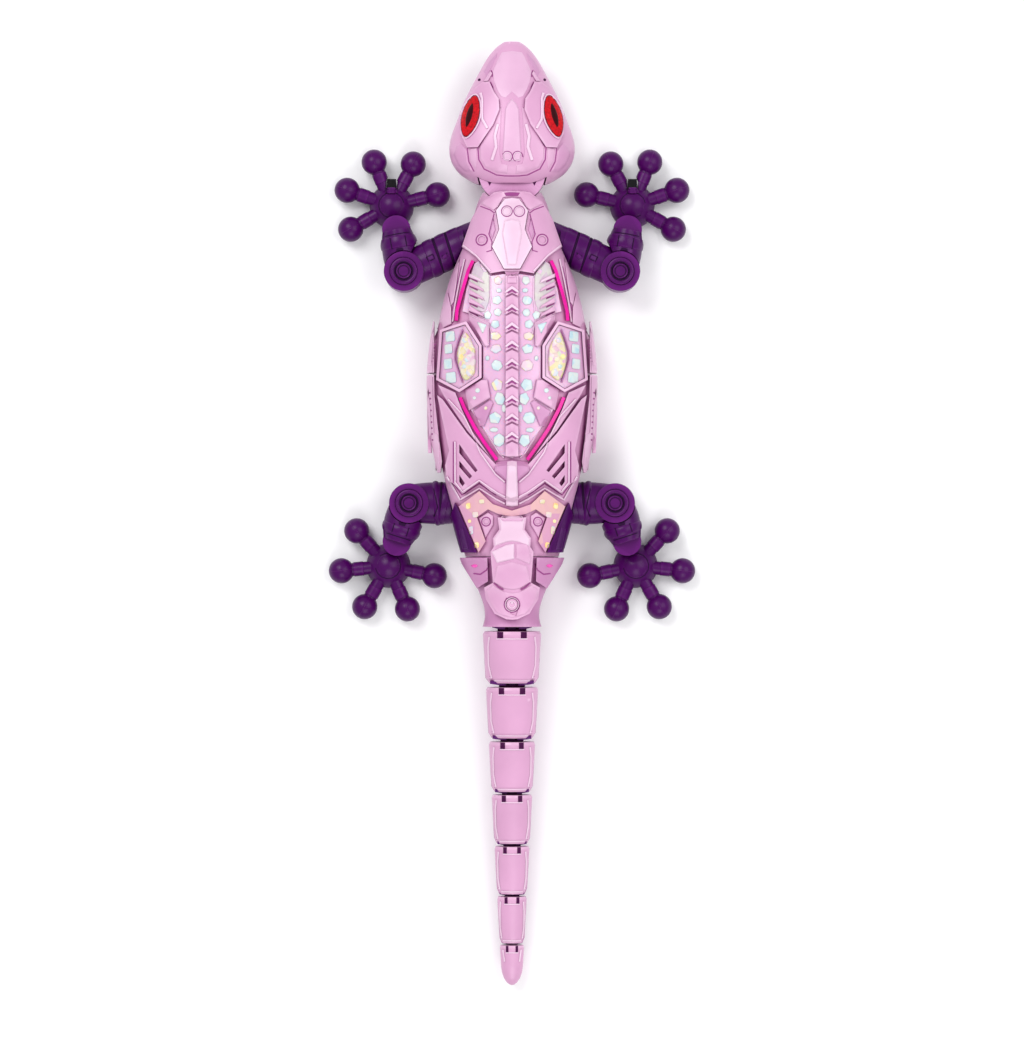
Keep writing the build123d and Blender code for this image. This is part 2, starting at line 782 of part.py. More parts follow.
# Lower trunk shell: battery box, limb posts, screw posts and motor saddles stand on its floor
with BuildPart() as belly_hollow:
    add(trunk_keel(-wall))
    add(slab(shell_rear_y + wall, trunk_front_y, floor_z, tall), mode=Mode.INTERSECT)
with BuildPart() as belly_shell:
    add(trunk_keel())
    add(slab(shell_rear_y, trunk_front_y + 1, belly_z, parting_z - fixed_gap / 2), mode=Mode.INTERSECT)
    add(belly_hollow.part, mode=Mode.SUBTRACT)
    for leg in (front_leg, rear_leg):
        add(limb_clearance(leg), mode=Mode.SUBTRACT)
    for place in leg_posts:
        add(disc(place, post_foot_radius, belly_z + wall / 2, ring_bottom_z - running_gap / 2))
        add(disc(place, post_radius, belly_z + wall / 2, ring_top_z + running_gap / 2))
    # battery box, open downwards behind the door
    with BuildSketch(Plane.XY.offset(belly_z + wall / 2)):
        with Locations((0, (box_front_y + box_rear_y) / 2)):
            Rectangle(2 * (box_half_width + box_wall), box_front_y - box_rear_y + 2 * box_wall)
    extrude(amount=box_top_z + box_roof - belly_z - wall / 2)
    for x, y in standoffs:
        add(disc((x, y), standoff_radius, box_top_z + box_roof / 2, board_z))
    for x, y in screw_places:
        add(disc((x, y), screw_post_radius, belly_z + wall / 2, parting_z - fixed_gap / 2))
    add(disc((0, door_screw_y), screw_post_radius, belly_z + wall / 2, cell_z))
    with BuildSketch(Plane.XY.offset(belly_z)):
        with Locations((0, (box_front_y + box_rear_y) / 2)):
            Rectangle(2 * box_half_width, box_front_y - box_rear_y)
    extrude(amount=box_top_z - belly_z, mode=Mode.SUBTRACT)
    with BuildSketch(Plane.XY.offset(belly_z)):
        with Locations((0, (box_front_y + box_rear_y) / 2)):
            Rectangle(2 * (box_half_width + door_ledge), box_front_y - box_rear_y + 2 * door_ledge)
        with Locations((0, (box_front_y + door_tab_y + fixed_gap) / 2)):
            Rectangle(2 * screw_post_radius, door_tab_y + fixed_gap - box_front_y)
    extrude(amount=door_thickness, mode=Mode.SUBTRACT)
    add(
        disc((0, door_screw_y), screw_radius + screw_fit, belly_z, belly_z + door_screw_length + 1),
        mode=Mode.SUBTRACT,
    )
    for x, y in screw_places:
        add(disc((x, y), screw_radius + screw_fit, belly_z, tall), mode=Mode.SUBTRACT)
        add(disc((x, y), screw_head_radius + fixed_gap, 0, screw_head_z), mode=Mode.SUBTRACT)
    for x in (motor_end_x - motor_length + 4, motor_end_x - 4):
        with BuildSketch(Plane.XY.offset(belly_z + wall / 2)):
            with Locations((x, motor_y)):
                Rectangle(frame_wall, 1.2 * motor_radius)
        extrude(amount=motor_z - motor_half_height - fixed_gap / 2 - belly_z - wall / 2)
    add(
        disc(neck_place, neck_radius + fixed_gap, neck_bottom_z - fixed_gap, neck_top_z + fixed_gap),
        mode=Mode.SUBTRACT,
    )
finish(belly_shell.part, "belly_shell")

# Upper trunk shell
with BuildPart() as back_hollow:
    add(trunk_dome(-wall))
    add(slab(shell_rear_y + wall, trunk_front_y, 0, 2 * tall), mode=Mode.INTERSECT)
with BuildPart() as back_bosses:
    for place in leg_posts:
        add(disc(place, post_foot_radius, ring_top_z + opening_gap, tall))
    for place in screw_places:
        add(disc(place, screw_post_radius, parting_z + fixed_gap / 2, tall))
    add(trunk_dome(-wall / 2), mode=Mode.INTERSECT)
with BuildPart() as back_shell:
    add(trunk_dome())
    add(slab(shell_rear_y, trunk_front_y + 1, parting_z + fixed_gap / 2, 2 * tall), mode=Mode.INTERSECT)
    add(back_hollow.part, mode=Mode.SUBTRACT)
    for leg in (front_leg, rear_leg):
        add(limb_clearance(leg), mode=Mode.SUBTRACT)
    add(back_bosses.part)
    for place in screw_places:
        add(disc(place, screw_radius + screw_fit, 0, parting_z + screw_grip + 1), mode=Mode.SUBTRACT)
    add(
        disc(neck_place, neck_radius + fixed_gap, neck_bottom_z - fixed_gap, neck_top_z + fixed_gap),
        mode=Mode.SUBTRACT,
    )
    # openings that the lights shine through
    for rear_share, front_share, half_share in ((0.345, 0.215, 0.30), (0.535, 0.445, 0.26)):
        with BuildSketch(Plane.XY.offset(parting_z + wall)):
            outline_face(
                both_halves(
                    on_back([
                        (0, front_share), (half_share, front_share),
                        (half_share, rear_share), (0, rear_share),
                    ])
                )
            )
        extrude(amount=tall, mode=Mode.SUBTRACT)
finish(back_shell.part, "back_shell")


# ---------------------------------------------------------------- plates on the back
sweeps = [limb_clearance(leg) for leg in (front_leg, rear_leg)]


def clear_of_limbs(plates):
    """The same plates with the limbs' sweep cut away."""
    with BuildPart() as cleared:
        add(plates)
        for sweep_space in sweeps:
            add(sweep_space, mode=Mode.SUBTRACT)
    return cleared.part


with BuildPart() as shoulder_plate:
    add(draped([shoulder_outline], plate_low, shoulder_top))
    add(grown(crest_outline, fixed_gap), mode=Mode.SUBTRACT)
    add(disc(neck_place, neck_radius + fixed_gap, 0, neck_top_z + fixed_gap), mode=Mode.SUBTRACT)
finish(clear_of_limbs(shoulder_plate.part), "shoulder_plate")

finish(draped([crest_outline], plate_low, crest_top), "neck_crest")
finish(draped([window_outline], plate_low, window_top), "crystal_window")

spine_front_y, spine_rear_y = (place[1] for place in on_back([(0, 0.197), (0, 0.609)]))
spine_bar = both_halves([
    (0, spine_front_y), (spine_half_width, spine_front_y),
    (spine_half_width, spine_rear_y), (0, spine_rear_y),
])
chevron_reach = 1.5 * spine_half_width
with BuildPart() as notches:
    for i in range(1, int((spine_front_y - spine_rear_y) / chevron_pitch) + 1):
        y = spine_front_y - i * chevron_pitch
        route = [(-chevron_reach, y - chevron_reach / 2), (0, y), (chevron_reach, y - chevron_reach / 2)]
        add(column(strip(route, chevron_groove), parting_z, 2 * tall))
    add(trunk_dome(spine_top - chevron_depth), mode=Mode.SUBTRACT)
with BuildPart() as spine_ridge:
    add(draped([spine_bar], window_top + fixed_gap, spine_top))
    add(notches.part, mode=Mode.SUBTRACT)
finish(spine_ridge.part, "spine_ridge")

finish(
    draped(both_sides([strip(route, pipe_width) for route in pipe_routes]), plate_low, pipe_top),
    "light_pipes",
)

with BuildPart() as rings:
    add(grown(pod_outline, bezel_width))
    add(grown(pod_outline, fixed_gap), mode=Mode.SUBTRACT)
    mirror(about=Plane.YZ)
with BuildPart() as pod_bezels:
    add(trunk_band(plate_low, pod_top))
    add(rings.part, mode=Mode.INTERSECT)
finish(pod_bezels.part, "pod_bezels")
finish(draped(both_sides([pod_outline]), plate_low, pod_top - wall / 2), "pod_crystals")

with BuildPart() as hip_plate:
    add(draped([hip_plate_outline], plate_low, hip_plate_top))
    for slot in both_sides(hip_slots):
        add(column(slot, 0, 2 * tall), mode=Mode.SUBTRACT)
    add(draped(both_sides([band_outline]), plate_low, band_top))
finish(clear_of_limbs(hip_plate.part), "hip_plate")

finish(draped([rump_window_outline], plate_low, rump_window_top), "rump_window")


def skirt_half(form, outlines, height):
    """The upper or lower half of plates that wrap round the side of the trunk."""
    with BuildPart() as half:
        add(form(height))
        add(form(plate_low), mode=Mode.SUBTRACT)
        with BuildSketch(Plane.XY.offset(parting_z - skirt_drop)):
            for points in both_sides(outlines):
                outline_face(points)
        extrude(amount=tall, mode=Mode.INTERSECT)
    return half.part


def skirt_pieces(outlines, height):
    """Plates that wrap from the side of the back round to the side of the belly."""
    with BuildPart() as wrapped:
        add(skirt_half(trunk_dome, outlines, height))
        add(skirt_half(trunk_keel, outlines, height))
    return clear_of_limbs(wrapped.part)


finish(skirt_pieces(skirt_outlines, skirt_top), "side_skirts")
finish(skirt_pieces([bracket_outline], bracket_top), "hip_brackets")

# Power button under the rump cover
button_section = section_at(trunk_stations, button_y)
button_seat_z = parting_z + button_section.crown + plate_low
button_face_z = parting_z + button_section.crown + rump_cover_top
flange_room_z = button_seat_z + button_travel + button_flange_height + fixed_gap
with BuildPart() as rump_cover:
    add(draped([rump_cover_outline], plate_low, rump_cover_top))
    add(disc((0, button_y), button_radius + pivot_gap, 0, 2 * tall), mode=Mode.SUBTRACT)
    add(disc((0, button_y), button_flange_radius + running_gap, 0, flange_room_z), mode=Mode.SUBTRACT)
finish(rump_cover.part, "rump_cover")

with BuildPart() as power_button:
    add(disc((0, button_y), button_radius, flange_room_z - fixed_gap, button_face_z + button_rise))
    add(
        disc(
            (0, button_y),
            button_flange_radius,
            flange_room_z - fixed_gap - button_flange_height,
            flange_room_z - fixed_gap,
        )
    )
finish(power_button.part, "power_button")

# ---------------------------------------------------------------- head
with BuildPart() as head_hollow:
    add(head_dome(-wall))
    add(head_keel(-wall))
neck_socket = disc(
    neck_place, neck_radius + opening_gap, neck_bottom_z - running_gap, neck_top_z + running_gap
)
with BuildPart() as crown_boss:
    add(disc(neck_place, spigot_boss_radius, neck_top_z, 2 * tall))
    add(head_dome(-wall / 2), mode=Mode.INTERSECT)
with BuildPart() as chin_boss:
    add(disc(neck_place, spigot_boss_radius, 0, neck_bottom_z))
    add(head_keel(-wall / 2), mode=Mode.INTERSECT)
with BuildPart() as head_shell:
    add(head_dome())
    add(slab(0, 2 * snout_y, parting_z + fixed_gap / 2, 2 * tall), mode=Mode.INTERSECT)
    add(head_hollow.part, mode=Mode.SUBTRACT)
    add(crown_boss.part)
    add(neck_socket, mode=Mode.SUBTRACT)
    spigot_top_z = neck_top_z + running_gap + spigot_length
    add(disc(neck_place, spigot_radius + pivot_gap, 0, spigot_top_z), mode=Mode.SUBTRACT)
finish(head_shell.part, "head_shell")

with BuildPart() as jaw_shell:
    add(head_keel())
    add(slab(0, 2 * snout_y, 0, parting_z - fixed_gap / 2), mode=Mode.INTERSECT)
    add(head_hollow.part, mode=Mode.SUBTRACT)
    add(chin_boss.part)
    add(neck_socket, mode=Mode.SUBTRACT)
    spigot_bottom_z = neck_bottom_z - running_gap - spigot_length
    add(disc(neck_place, spigot_radius + pivot_gap, spigot_bottom_z, tall), mode=Mode.SUBTRACT)
finish(jaw_shell.part, "jaw_shell")

with BuildPart() as neck_drum:
    add(disc(neck_place, neck_radius, neck_bottom_z, neck_top_z))
    add(disc(neck_place, spigot_radius, neck_bottom_z - spigot_length, neck_top_z + spigot_length))
finish(neck_drum.part, "neck_drum")

# Eyes: almond lenses let into raised surrounds
eye_centre = (eye_side * head_half_width, snout_y - eye_back * head_length)


def almond(length, width, turn, centre, count=8):
    """A lens outline: two arcs that meet at blunt ends."""
    points = []
    for i in range(2 * count):
        a = pi * i / count
        u, w = length * cos(a), width * sin(a) * (1 - 0.25 * cos(a) ** 2)
        t = radians(turn)
        points.append((centre[0] + u * cos(t) - w * sin(t), centre[1] + u * sin(t) + w * cos(t)))
    return points


eye_outline = almond(eye_half_length, eye_half_width, 90 + eye_turn, eye_centre)


def on_head_dome(outlines, low, high):
    """Plates that follow the head between two heights above it."""
    with BuildPart() as plates:
        add(head_dome(high))
        add(head_dome(low), mode=Mode.SUBTRACT)
        with BuildSketch(Plane.XY.offset(parting_z + fixed_gap)):
            for points in outlines:
                outline_face(points)
        extrude(amount=2 * tall, mode=Mode.INTERSECT)
    return plates.part


with BuildPart() as eye_surrounds:
    add(on_head_dome(both_sides([surround_outline]), plate_low, surround_top))
    for points in both_sides([eye_outline]):
        add(grown(points, fixed_gap), mode=Mode.SUBTRACT)
finish(eye_surrounds.part, "eye_surrounds")
finish(on_head_dome(both_sides([eye_outline]), plate_low, eye_rise), "eye_lenses")


# ---------------------------------------------------------------- tail
class TailStep(NamedTuple):
    """One tail piece: where the piece in front ends, its own ends, its pivot and its level."""

    edge: float
    front: float
    rear: float
    pivot: float
    level: float


def tail_half_width(y):
    return tail_root_half_width - tail_taper * (trunk_rear_y - y)


def tail_level(y):
    return tail_root_z - tail_droop * (trunk_rear_y - y)


tail_steps = []
edge_y = trunk_rear_y
for pitch in tail_pitches + [tail_tip_length]:
    front = edge_y - tail_half_width(edge_y) * sin(radians(tail_swing)) - tail_gap_extra
    tail_steps.append(TailStep(edge_y, front, edge_y - pitch, front - tongue_setback, tail_level(edge_y)))
    edge_y -= pitch


tail_rear_sections = [(tail_corner_length, 1.0), (0.0, tail_rear_share)]
tip_rear_sections = [
    (tip_round_length * (1 - sin(radians(a))), cos(radians(a))) for a in (0, 20, 40, 58, 74, 84)
]


def tongue_size(step):
    """Half width and height of the tongue that a tail piece turns on."""
    half_width = tail_half_width(step.edge)
    return tongue_base_half_width + tongue_width_share * half_width, tongue_height_share * half_width


def tail_body(step, shrink=0.0, rear_sections=tail_rear_sections):
    """Chamfered oval form of a tail piece; rear sections are distances from its end and width shares."""
    front, rear = step.front - shrink, step.rear + shrink
    sections = [(front, tail_front_share), (front - tail_corner_length / 2, 1.0)]
    sections += [(rear + distance, share) for distance, share in rear_sections]
    with BuildPart() as body:
        for y, share in sections:
            half_width = tail_half_width(y) * share
            with BuildSketch(across(y, tail_level(y))):
                Ellipse(half_width - shrink, tail_flatness * half_width - shrink)
        loft(ruled=True)
    return body.part


def tongue(step):
    """The tongue that reaches back into a tail piece, with its bore."""
    half_width, height = tongue_size(step)
    root = step.edge + tail_wall
    bottom = step.level - height
    with BuildPart() as tab:
        with BuildSketch(Plane.XY.offset(bottom)):
            with Locations((0, (root + step.pivot) / 2)):
                Rectangle(2 * half_width, root - step.pivot)
            with Locations((0, step.pivot)):
                Circle(half_width)
                Circle(tongue_pin_share * half_width + pivot_gap, mode=Mode.SUBTRACT)
        extrude(amount=height - running_gap)
    return tab.part


def tongue_slot(step):
    """The fan-shaped room that the tongue swings in."""
    half_width, height = tongue_size(step)
    inner = half_width + running_gap
    mouth_y = step.front + tongue_setback / 2
    outer = inner / cos(radians(tail_swing)) + (mouth_y - step.pivot) * sin(radians(tail_swing))
    fan = [(-inner, step.pivot), (-outer, mouth_y), (outer, mouth_y), (inner, step.pivot)]
    with BuildPart() as room:
        with BuildSketch(Plane.XY.offset(step.level - height - running_gap)):
            outline_face(fan)
            with Locations((0, step.pivot)):
                Circle(inner)
        extrude(amount=height + running_gap)
    return room.part


def tongue_pin(step, top):
    half_width, height = tongue_size(step)
    return disc((0, step.pivot), tongue_pin_share * half_width, step.level - height - 2 * running_gap, top)


with BuildPart() as base_hollow:
    add(trunk_dome(-wall))
    add(trunk_keel(-wall))
    add(slab(trunk_rear_y + wall, shell_rear_y - fixed_gap - wall, floor_z, 2 * tall), mode=Mode.INTERSECT)
with BuildPart() as tail_base:
    add(draped(both_sides([wing_outline]), 0, wing_top))
    add(trunk_dome())
    add(trunk_keel())
    add(slab(trunk_rear_y, shell_rear_y - fixed_gap, belly_z, 2 * tall), mode=Mode.INTERSECT)
    add(base_hollow.part, mode=Mode.SUBTRACT)
    add(tongue(tail_steps[0]))
finish(tail_base.part, "tail_base")

for number, step in enumerate(tail_steps[:-1], start=1):
    upper_room = slab(step.rear, step.front, step.level + fixed_gap / 2, 2 * tall)
    lower_room = slab(step.rear, step.front, 0, step.level - fixed_gap / 2)
    body, hollow = tail_body(step), tail_body(step, tail_wall)
    with BuildPart() as tail_cover:
        add(body)
        add(upper_room, mode=Mode.INTERSECT)
        add(hollow, mode=Mode.SUBTRACT)
    finish(tail_cover.part, f"tail_cover_{number}")
    pocket_front = step.pivot - tongue_size(step)[0] - running_gap - tail_wall
    with BuildPart() as pocket:
        add(hollow)
        add(slab(step.rear + 2 * tail_wall, pocket_front, 0, 2 * tall), mode=Mode.INTERSECT)
    with BuildPart() as tail_link:
        add(body)
        add(lower_room, mode=Mode.INTERSECT)
        add(pocket.part, mode=Mode.SUBTRACT)
        add(tongue_slot(step), mode=Mode.SUBTRACT)
        add(tongue_pin(step, step.level - fixed_gap / 2))
        add(tongue(tail_steps[number]))
    finish(tail_link.part, f"tail_link_{number}")

with BuildPart() as tail_tip:
    last = tail_steps[-1]
    add(tail_body(last, rear_sections=tip_rear_sections))
    add(tongue_slot(last), mode=Mode.SUBTRACT)
    add(tongue_pin(last, last.level + running_gap))
finish(tail_tip.part, "tail_tip")


# ---------------------------------------------------------------- battery, board and screws
with BuildPart() as battery_door:
    with BuildSketch(Plane.XY.offset(belly_z)):
        with Locations((0, (box_front_y + box_rear_y) / 2)):
            Rectangle(
                2 * (box_half_width + door_ledge - fixed_gap),
                box_front_y - box_rear_y + 2 * (door_ledge - fixed_gap),
            )
        with Locations((0, (box_front_y + door_tab_y) / 2)):
            Rectangle(2 * (screw_post_radius - fixed_gap), door_tab_y - box_front_y)
    extrude(amount=door_thickness - fixed_gap)
    add(disc((0, door_screw_y), screw_radius + screw_fit, 0, tall), mode=Mode.SUBTRACT)
    add(
        disc(
            (0, door_screw_y), screw_head_radius + fixed_gap, 0,
            belly_z + screw_head_height + fixed_gap / 2,
        ),
        mode=Mode.SUBTRACT,
    )
finish(battery_door.part, "battery_door")


def lengthwise(x, y, z):
    """The upright plane across the toy at a point, with its normal towards the tail."""
    return Plane(origin=(x, y, z), x_dir=(1, 0, 0), z_dir=(0, -1, 0))


with BuildPart() as batteries:
    for i in range(cell_count):
        x = (i - (cell_count - 1) / 2) * cell_pitch
        with BuildSketch(lengthwise(x, box_front_y - box_gap - cell_nub_length, cell_z)):
            Circle(cell_radius)
        extrude(amount=cell_length - cell_nub_length)
        with BuildSketch(lengthwise(x, box_front_y - box_gap, cell_z)):
            Circle(cell_nub_radius)
        extrude(amount=2 * cell_nub_length)
finish(batteries.part, "batteries")

with BuildPart() as circuit_board:
    with BuildSketch(Plane.XY.offset(board_z)):
        with Locations((0, (box_front_y + box_rear_y) / 2)):
            Rectangle(board_width, board_length)
    extrude(amount=board_thickness)
    with BuildSketch(Plane.XY.offset(board_z + board_thickness)):
        with Locations((0, (box_front_y + box_rear_y) / 2)):
            with GridLocations(board_width / 3, board_length / 3.5, 2, 3):
                Circle(led_radius)
    extrude(amount=led_height)
finish(circuit_board.part, "circuit_board")

with BuildPart() as screws:
    for x, y in screw_places:
        add(disc((x, y), screw_radius, screw_head_z, screw_head_z + screw_length))
        add(disc((x, y), screw_head_radius, screw_head_z - screw_head_height, screw_head_z))
    door_screw_seat = belly_z + screw_head_height
    add(disc((0, door_screw_y), screw_radius, door_screw_seat, belly_z + door_screw_length))
    add(disc((0, door_screw_y), screw_head_radius, belly_z, door_screw_seat))
finish(screws.part, "screws")


# ---------------------------------------------------------------- drive
def gear_outline(teeth, addendum, turn):
    """A spur gear's outline with involute flanks, turned about its centre by an angle."""
    pitch_radius = gear_module * teeth / 2
    base_radius = pitch_radius * cos(radians(pressure_angle))
    root_radius = pitch_radius - dedendum * gear_module
    tip_radius = pitch_radius + addendum * gear_module
    a = radians(pressure_angle)
    half_tooth = pi / (2 * teeth) - gear_backlash / (2 * pitch_radius) + tan(a) - a
    flank = []
    start_radius = max(base_radius, root_radius)
    for i in range(4):
        radius = start_radius + (tip_radius - start_radius) * i / 3
        b = acos(min(1.0, base_radius / radius))
        flank.append((radius, half_tooth - (tan(b) - b)))
    if root_radius < base_radius:
        flank.insert(0, (root_radius, half_tooth))
    points = []
    for tooth in range(teeth):
        middle = radians(turn) + 2 * pi * tooth / teeth
        for radius, angle in [(r, -h) for r, h in flank] + [(r, h) for r, h in reversed(flank)]:
            points.append((radius * cos(middle + angle), radius * sin(middle + angle)))
    return points


def sideways(x, y, z):
    """The upright plane across X at a point: local x is +Y and local y is +Z."""
    return Plane(origin=(x, y, z), x_dir=(0, 1, 0), z_dir=(1, 0, 0))


mesh_angle = degrees(atan2(motor_z - wheel_z, motor_y - wheel_y))

with BuildPart() as drive_motor:
    with BuildSketch(sideways(motor_end_x - motor_length, motor_y, motor_z)):
        Circle(motor_radius)
        Rectangle(3 * motor_radius, 2 * motor_half_height, mode=Mode.INTERSECT)
    extrude(amount=motor_length)
    with BuildSketch(sideways(motor_end_x - 1, motor_y, motor_z)):
        Circle(shaft_radius)
    extrude(amount=gear_x + gear_width - motor_end_x + 1 + gear_gap_to_frame)
finish(drive_motor.part, "drive_motor")

with BuildPart() as motor_pinion:
    with BuildSketch(sideways(gear_x, motor_y, motor_z)):
        outline_face(gear_outline(pinion_teeth, pinion_addendum, mesh_angle + 180 + 180 / pinion_teeth))
        Circle(shaft_radius + pivot_gap, mode=Mode.SUBTRACT)
    extrude(amount=gear_width)
finish(motor_pinion.part, "motor_pinion")

with BuildPart() as drive_gear:
    with BuildSketch(sideways(gear_x, wheel_y, wheel_z)):
        outline_face(gear_outline(wheel_teeth, wheel_addendum, mesh_angle))
        Circle(axle_radius + pivot_gap, mode=Mode.SUBTRACT)
    extrude(amount=gear_width)
    with BuildSketch(sideways(gear_x + gear_width, wheel_y, wheel_z)):
        with Locations((0, crank_offset)):
            Circle(crank_pin_radius)
    extrude(amount=crank_pin_length)
finish(drive_gear.part, "drive_gear")

near_plate_x = gear_x - gear_gap_to_frame - frame_wall
far_plate_x = gear_x + gear_width + crank_pin_length + gear_gap_to_frame
frame_floor_z = floor_z + fixed_gap / 2
with BuildPart() as gearbox_frame:
    with BuildSketch(sideways(near_plate_x, (wheel_y + motor_y) / 2, 0)):
        with Locations((0, (frame_floor_z + wheel_z + frame_rise) / 2)):
            Rectangle(motor_y - wheel_y + 2 * frame_margin, wheel_z + frame_rise - frame_floor_z)
        with Locations(((motor_y - wheel_y) / 2, motor_z)):
            Circle(shaft_radius + running_gap, mode=Mode.SUBTRACT)
    extrude(amount=frame_wall)
    with BuildSketch(sideways(far_plate_x, wheel_y, 0)):
        with Locations((0, (frame_floor_z + wheel_z + frame_rise) / 2)):
            Rectangle(2 * frame_margin, wheel_z + frame_rise - frame_floor_z)
    extrude(amount=frame_wall)
    with BuildSketch(sideways(near_plate_x, wheel_y, 0)):
        with Locations((0, frame_floor_z + frame_wall / 2)):
            Rectangle(2 * frame_margin, frame_wall)
    extrude(amount=far_plate_x - near_plate_x)
    with BuildSketch(sideways(near_plate_x, wheel_y, wheel_z)):
        Circle(axle_radius)
    extrude(amount=far_plate_x - near_plate_x + frame_wall)
finish(gearbox_frame.part, "gearbox_frame")


for leg in (front_leg, rear_leg):
    pieces = {
        "upper_limb": make_upper_limb(leg),
        "elbow_cap": make_elbow_cap(leg),
        "lower_limb": make_lower_limb(leg),
        "foot": make_foot(leg),
    }
    if leg.has_roller:
        pieces["roller"] = make_roller(leg)
    for piece_name, piece in pieces.items():
        finish(piece, f"{leg.name}_right_{piece_name}")
        finish(left_of(piece), f"{leg.name}_left_{piece_name}")
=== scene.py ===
import json
import math
import random

import bmesh
import bpy
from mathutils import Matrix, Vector, geometry
from mathutils.bvhtree import BVHTree


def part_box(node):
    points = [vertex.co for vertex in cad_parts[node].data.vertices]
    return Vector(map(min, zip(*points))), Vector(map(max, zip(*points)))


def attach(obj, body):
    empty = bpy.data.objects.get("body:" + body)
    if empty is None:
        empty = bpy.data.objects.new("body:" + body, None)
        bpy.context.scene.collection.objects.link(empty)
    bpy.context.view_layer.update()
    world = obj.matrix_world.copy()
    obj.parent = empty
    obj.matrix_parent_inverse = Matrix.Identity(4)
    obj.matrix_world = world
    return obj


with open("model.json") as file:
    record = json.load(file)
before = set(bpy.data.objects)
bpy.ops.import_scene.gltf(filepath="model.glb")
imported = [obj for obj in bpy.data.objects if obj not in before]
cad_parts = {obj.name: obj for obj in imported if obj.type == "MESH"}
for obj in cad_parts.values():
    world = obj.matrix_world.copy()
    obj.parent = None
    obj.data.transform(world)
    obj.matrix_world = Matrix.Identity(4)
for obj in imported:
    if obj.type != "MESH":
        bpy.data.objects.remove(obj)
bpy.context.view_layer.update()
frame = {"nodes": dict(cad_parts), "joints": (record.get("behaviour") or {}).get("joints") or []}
nodes = frame["nodes"]
random.seed(7)

# ------------------------------------------------------------------ places, in metres
TRUNK_FRONT, TRUNK_LENGTH, TRUNK_HALF = 0.152525, 0.2054, 0.0375
SNOUT, HEAD_LENGTH, HEAD_HALF = 0.224325, 0.0677, 0.0297
LIMB_Z = 0.017
ABOVE_ALL, UNKNOWN_Z = 0.2, 0.02
SHARP_ANGLE = math.radians(32)


def back(u, v):
    """A place on the back: shares of the trunk's half width and length."""
    return (u * TRUNK_HALF, TRUNK_FRONT - v * TRUNK_LENGTH)


def head(u, v):
    """A place on the head: shares of its half width and length."""
    return (u * HEAD_HALF, SNOUT - v * HEAD_LENGTH)


def pairs_of(numbers):
    return zip(numbers[::2], numbers[1::2])


def on_back(*numbers):
    return [back(u, v) for u, v in pairs_of(numbers)]


def on_head(*numbers):
    return [head(u, v) for u, v in pairs_of(numbers)]


def flip(points):
    return [(-x, y) for x, y in points]


def closed(points):
    """A half outline joined with its mirror image."""
    return points + [(-x, y) for x, y in reversed(points) if abs(x) > 1e-6]


# ------------------------------------------------------------------ materials
# Reach of the painted shade that darkens crevices
CREVICE = 0.0022


def material(name):
    mat = bpy.data.materials.new(name)
    mat.use_nodes = True
    return mat, mat.node_tree, mat.node_tree.nodes["Principled BSDF"]


def put(node, **values):
    """Set inputs of a node, or else its properties; an underscore stands for a space."""
    for key, value in values.items():
        entry = key.replace("_", " ")
        if entry in node.inputs:
            node.inputs[entry].default_value = value
        else:
            setattr(node, key, value)
    return node


def add_node(tree, kind, **values):
    return put(tree.nodes.new("ShaderNode" + kind), **values)


def wire(tree, source, output, target, entry):
    tree.links.new(source.outputs[output], target.inputs[entry])


def texture(tree, coords, kind, **values):
    """A texture in the object's own frame."""
    node = add_node(tree, "Tex" + kind, **values)
    wire(tree, coords, "Object", node, "Vector")
    return node


def ramp_of(tree, source, output, *stops):
    """A colour ramp fed by one output; each stop is a position and a colour."""
    node = add_node(tree, "ValToRGB")
    elements = node.color_ramp.elements
    for element, (position, colour) in zip(elements, (stops[0], stops[-1])):
        element.position, element.color = position, (*colour, 1)
    for position, colour in stops[1:-1]:
        elements.new(position).color = (*colour, 1)
    wire(tree, source, output, node, "Fac")
    return node


def mixed(tree, amount, first, output, second):
    """One colour over another, by the strength of a ramp."""
    node = add_node(tree, "Mix", data_type="RGBA", B=(*second, 1))
    wire(tree, amount, "Color", node, "Factor")
    wire(tree, first, output, node, "A")
    return node


def lit(tree, shader, ramp, strength):
    """The ramp gives both the colour and a faint glow of its own."""
    wire(tree, ramp, "Color", shader, "Base Color")
    wire(tree, ramp, "Color", shader, "Emission Color")
    put(shader, Emission_Strength=strength)


def surface_normal(tree, shader, coords, edge, grain, strength):
    """Rounded edges, with a faint moulded grain on top."""
    bevel = add_node(tree, "Bevel", samples=6, Radius=edge)
    fine = texture(tree, coords, "Noise", Scale=2600.0, Detail=3.0, Roughness=0.6)
    waves = texture(tree, coords, "Noise", Scale=90.0, Detail=1.0)
    low = add_node(tree, "Bump", Strength=grain, Distance=0.0006)
    wire(tree, waves, "Fac", low, "Height")
    wire(tree, bevel, "Normal", low, "Normal")
    bump = add_node(tree, "Bump", Strength=strength, Distance=0.00008)
    wire(tree, fine, "Fac", bump, "Height")
    wire(tree, low, "Normal", bump, "Normal")
    wire(tree, bump, "Normal", shader, "Normal")


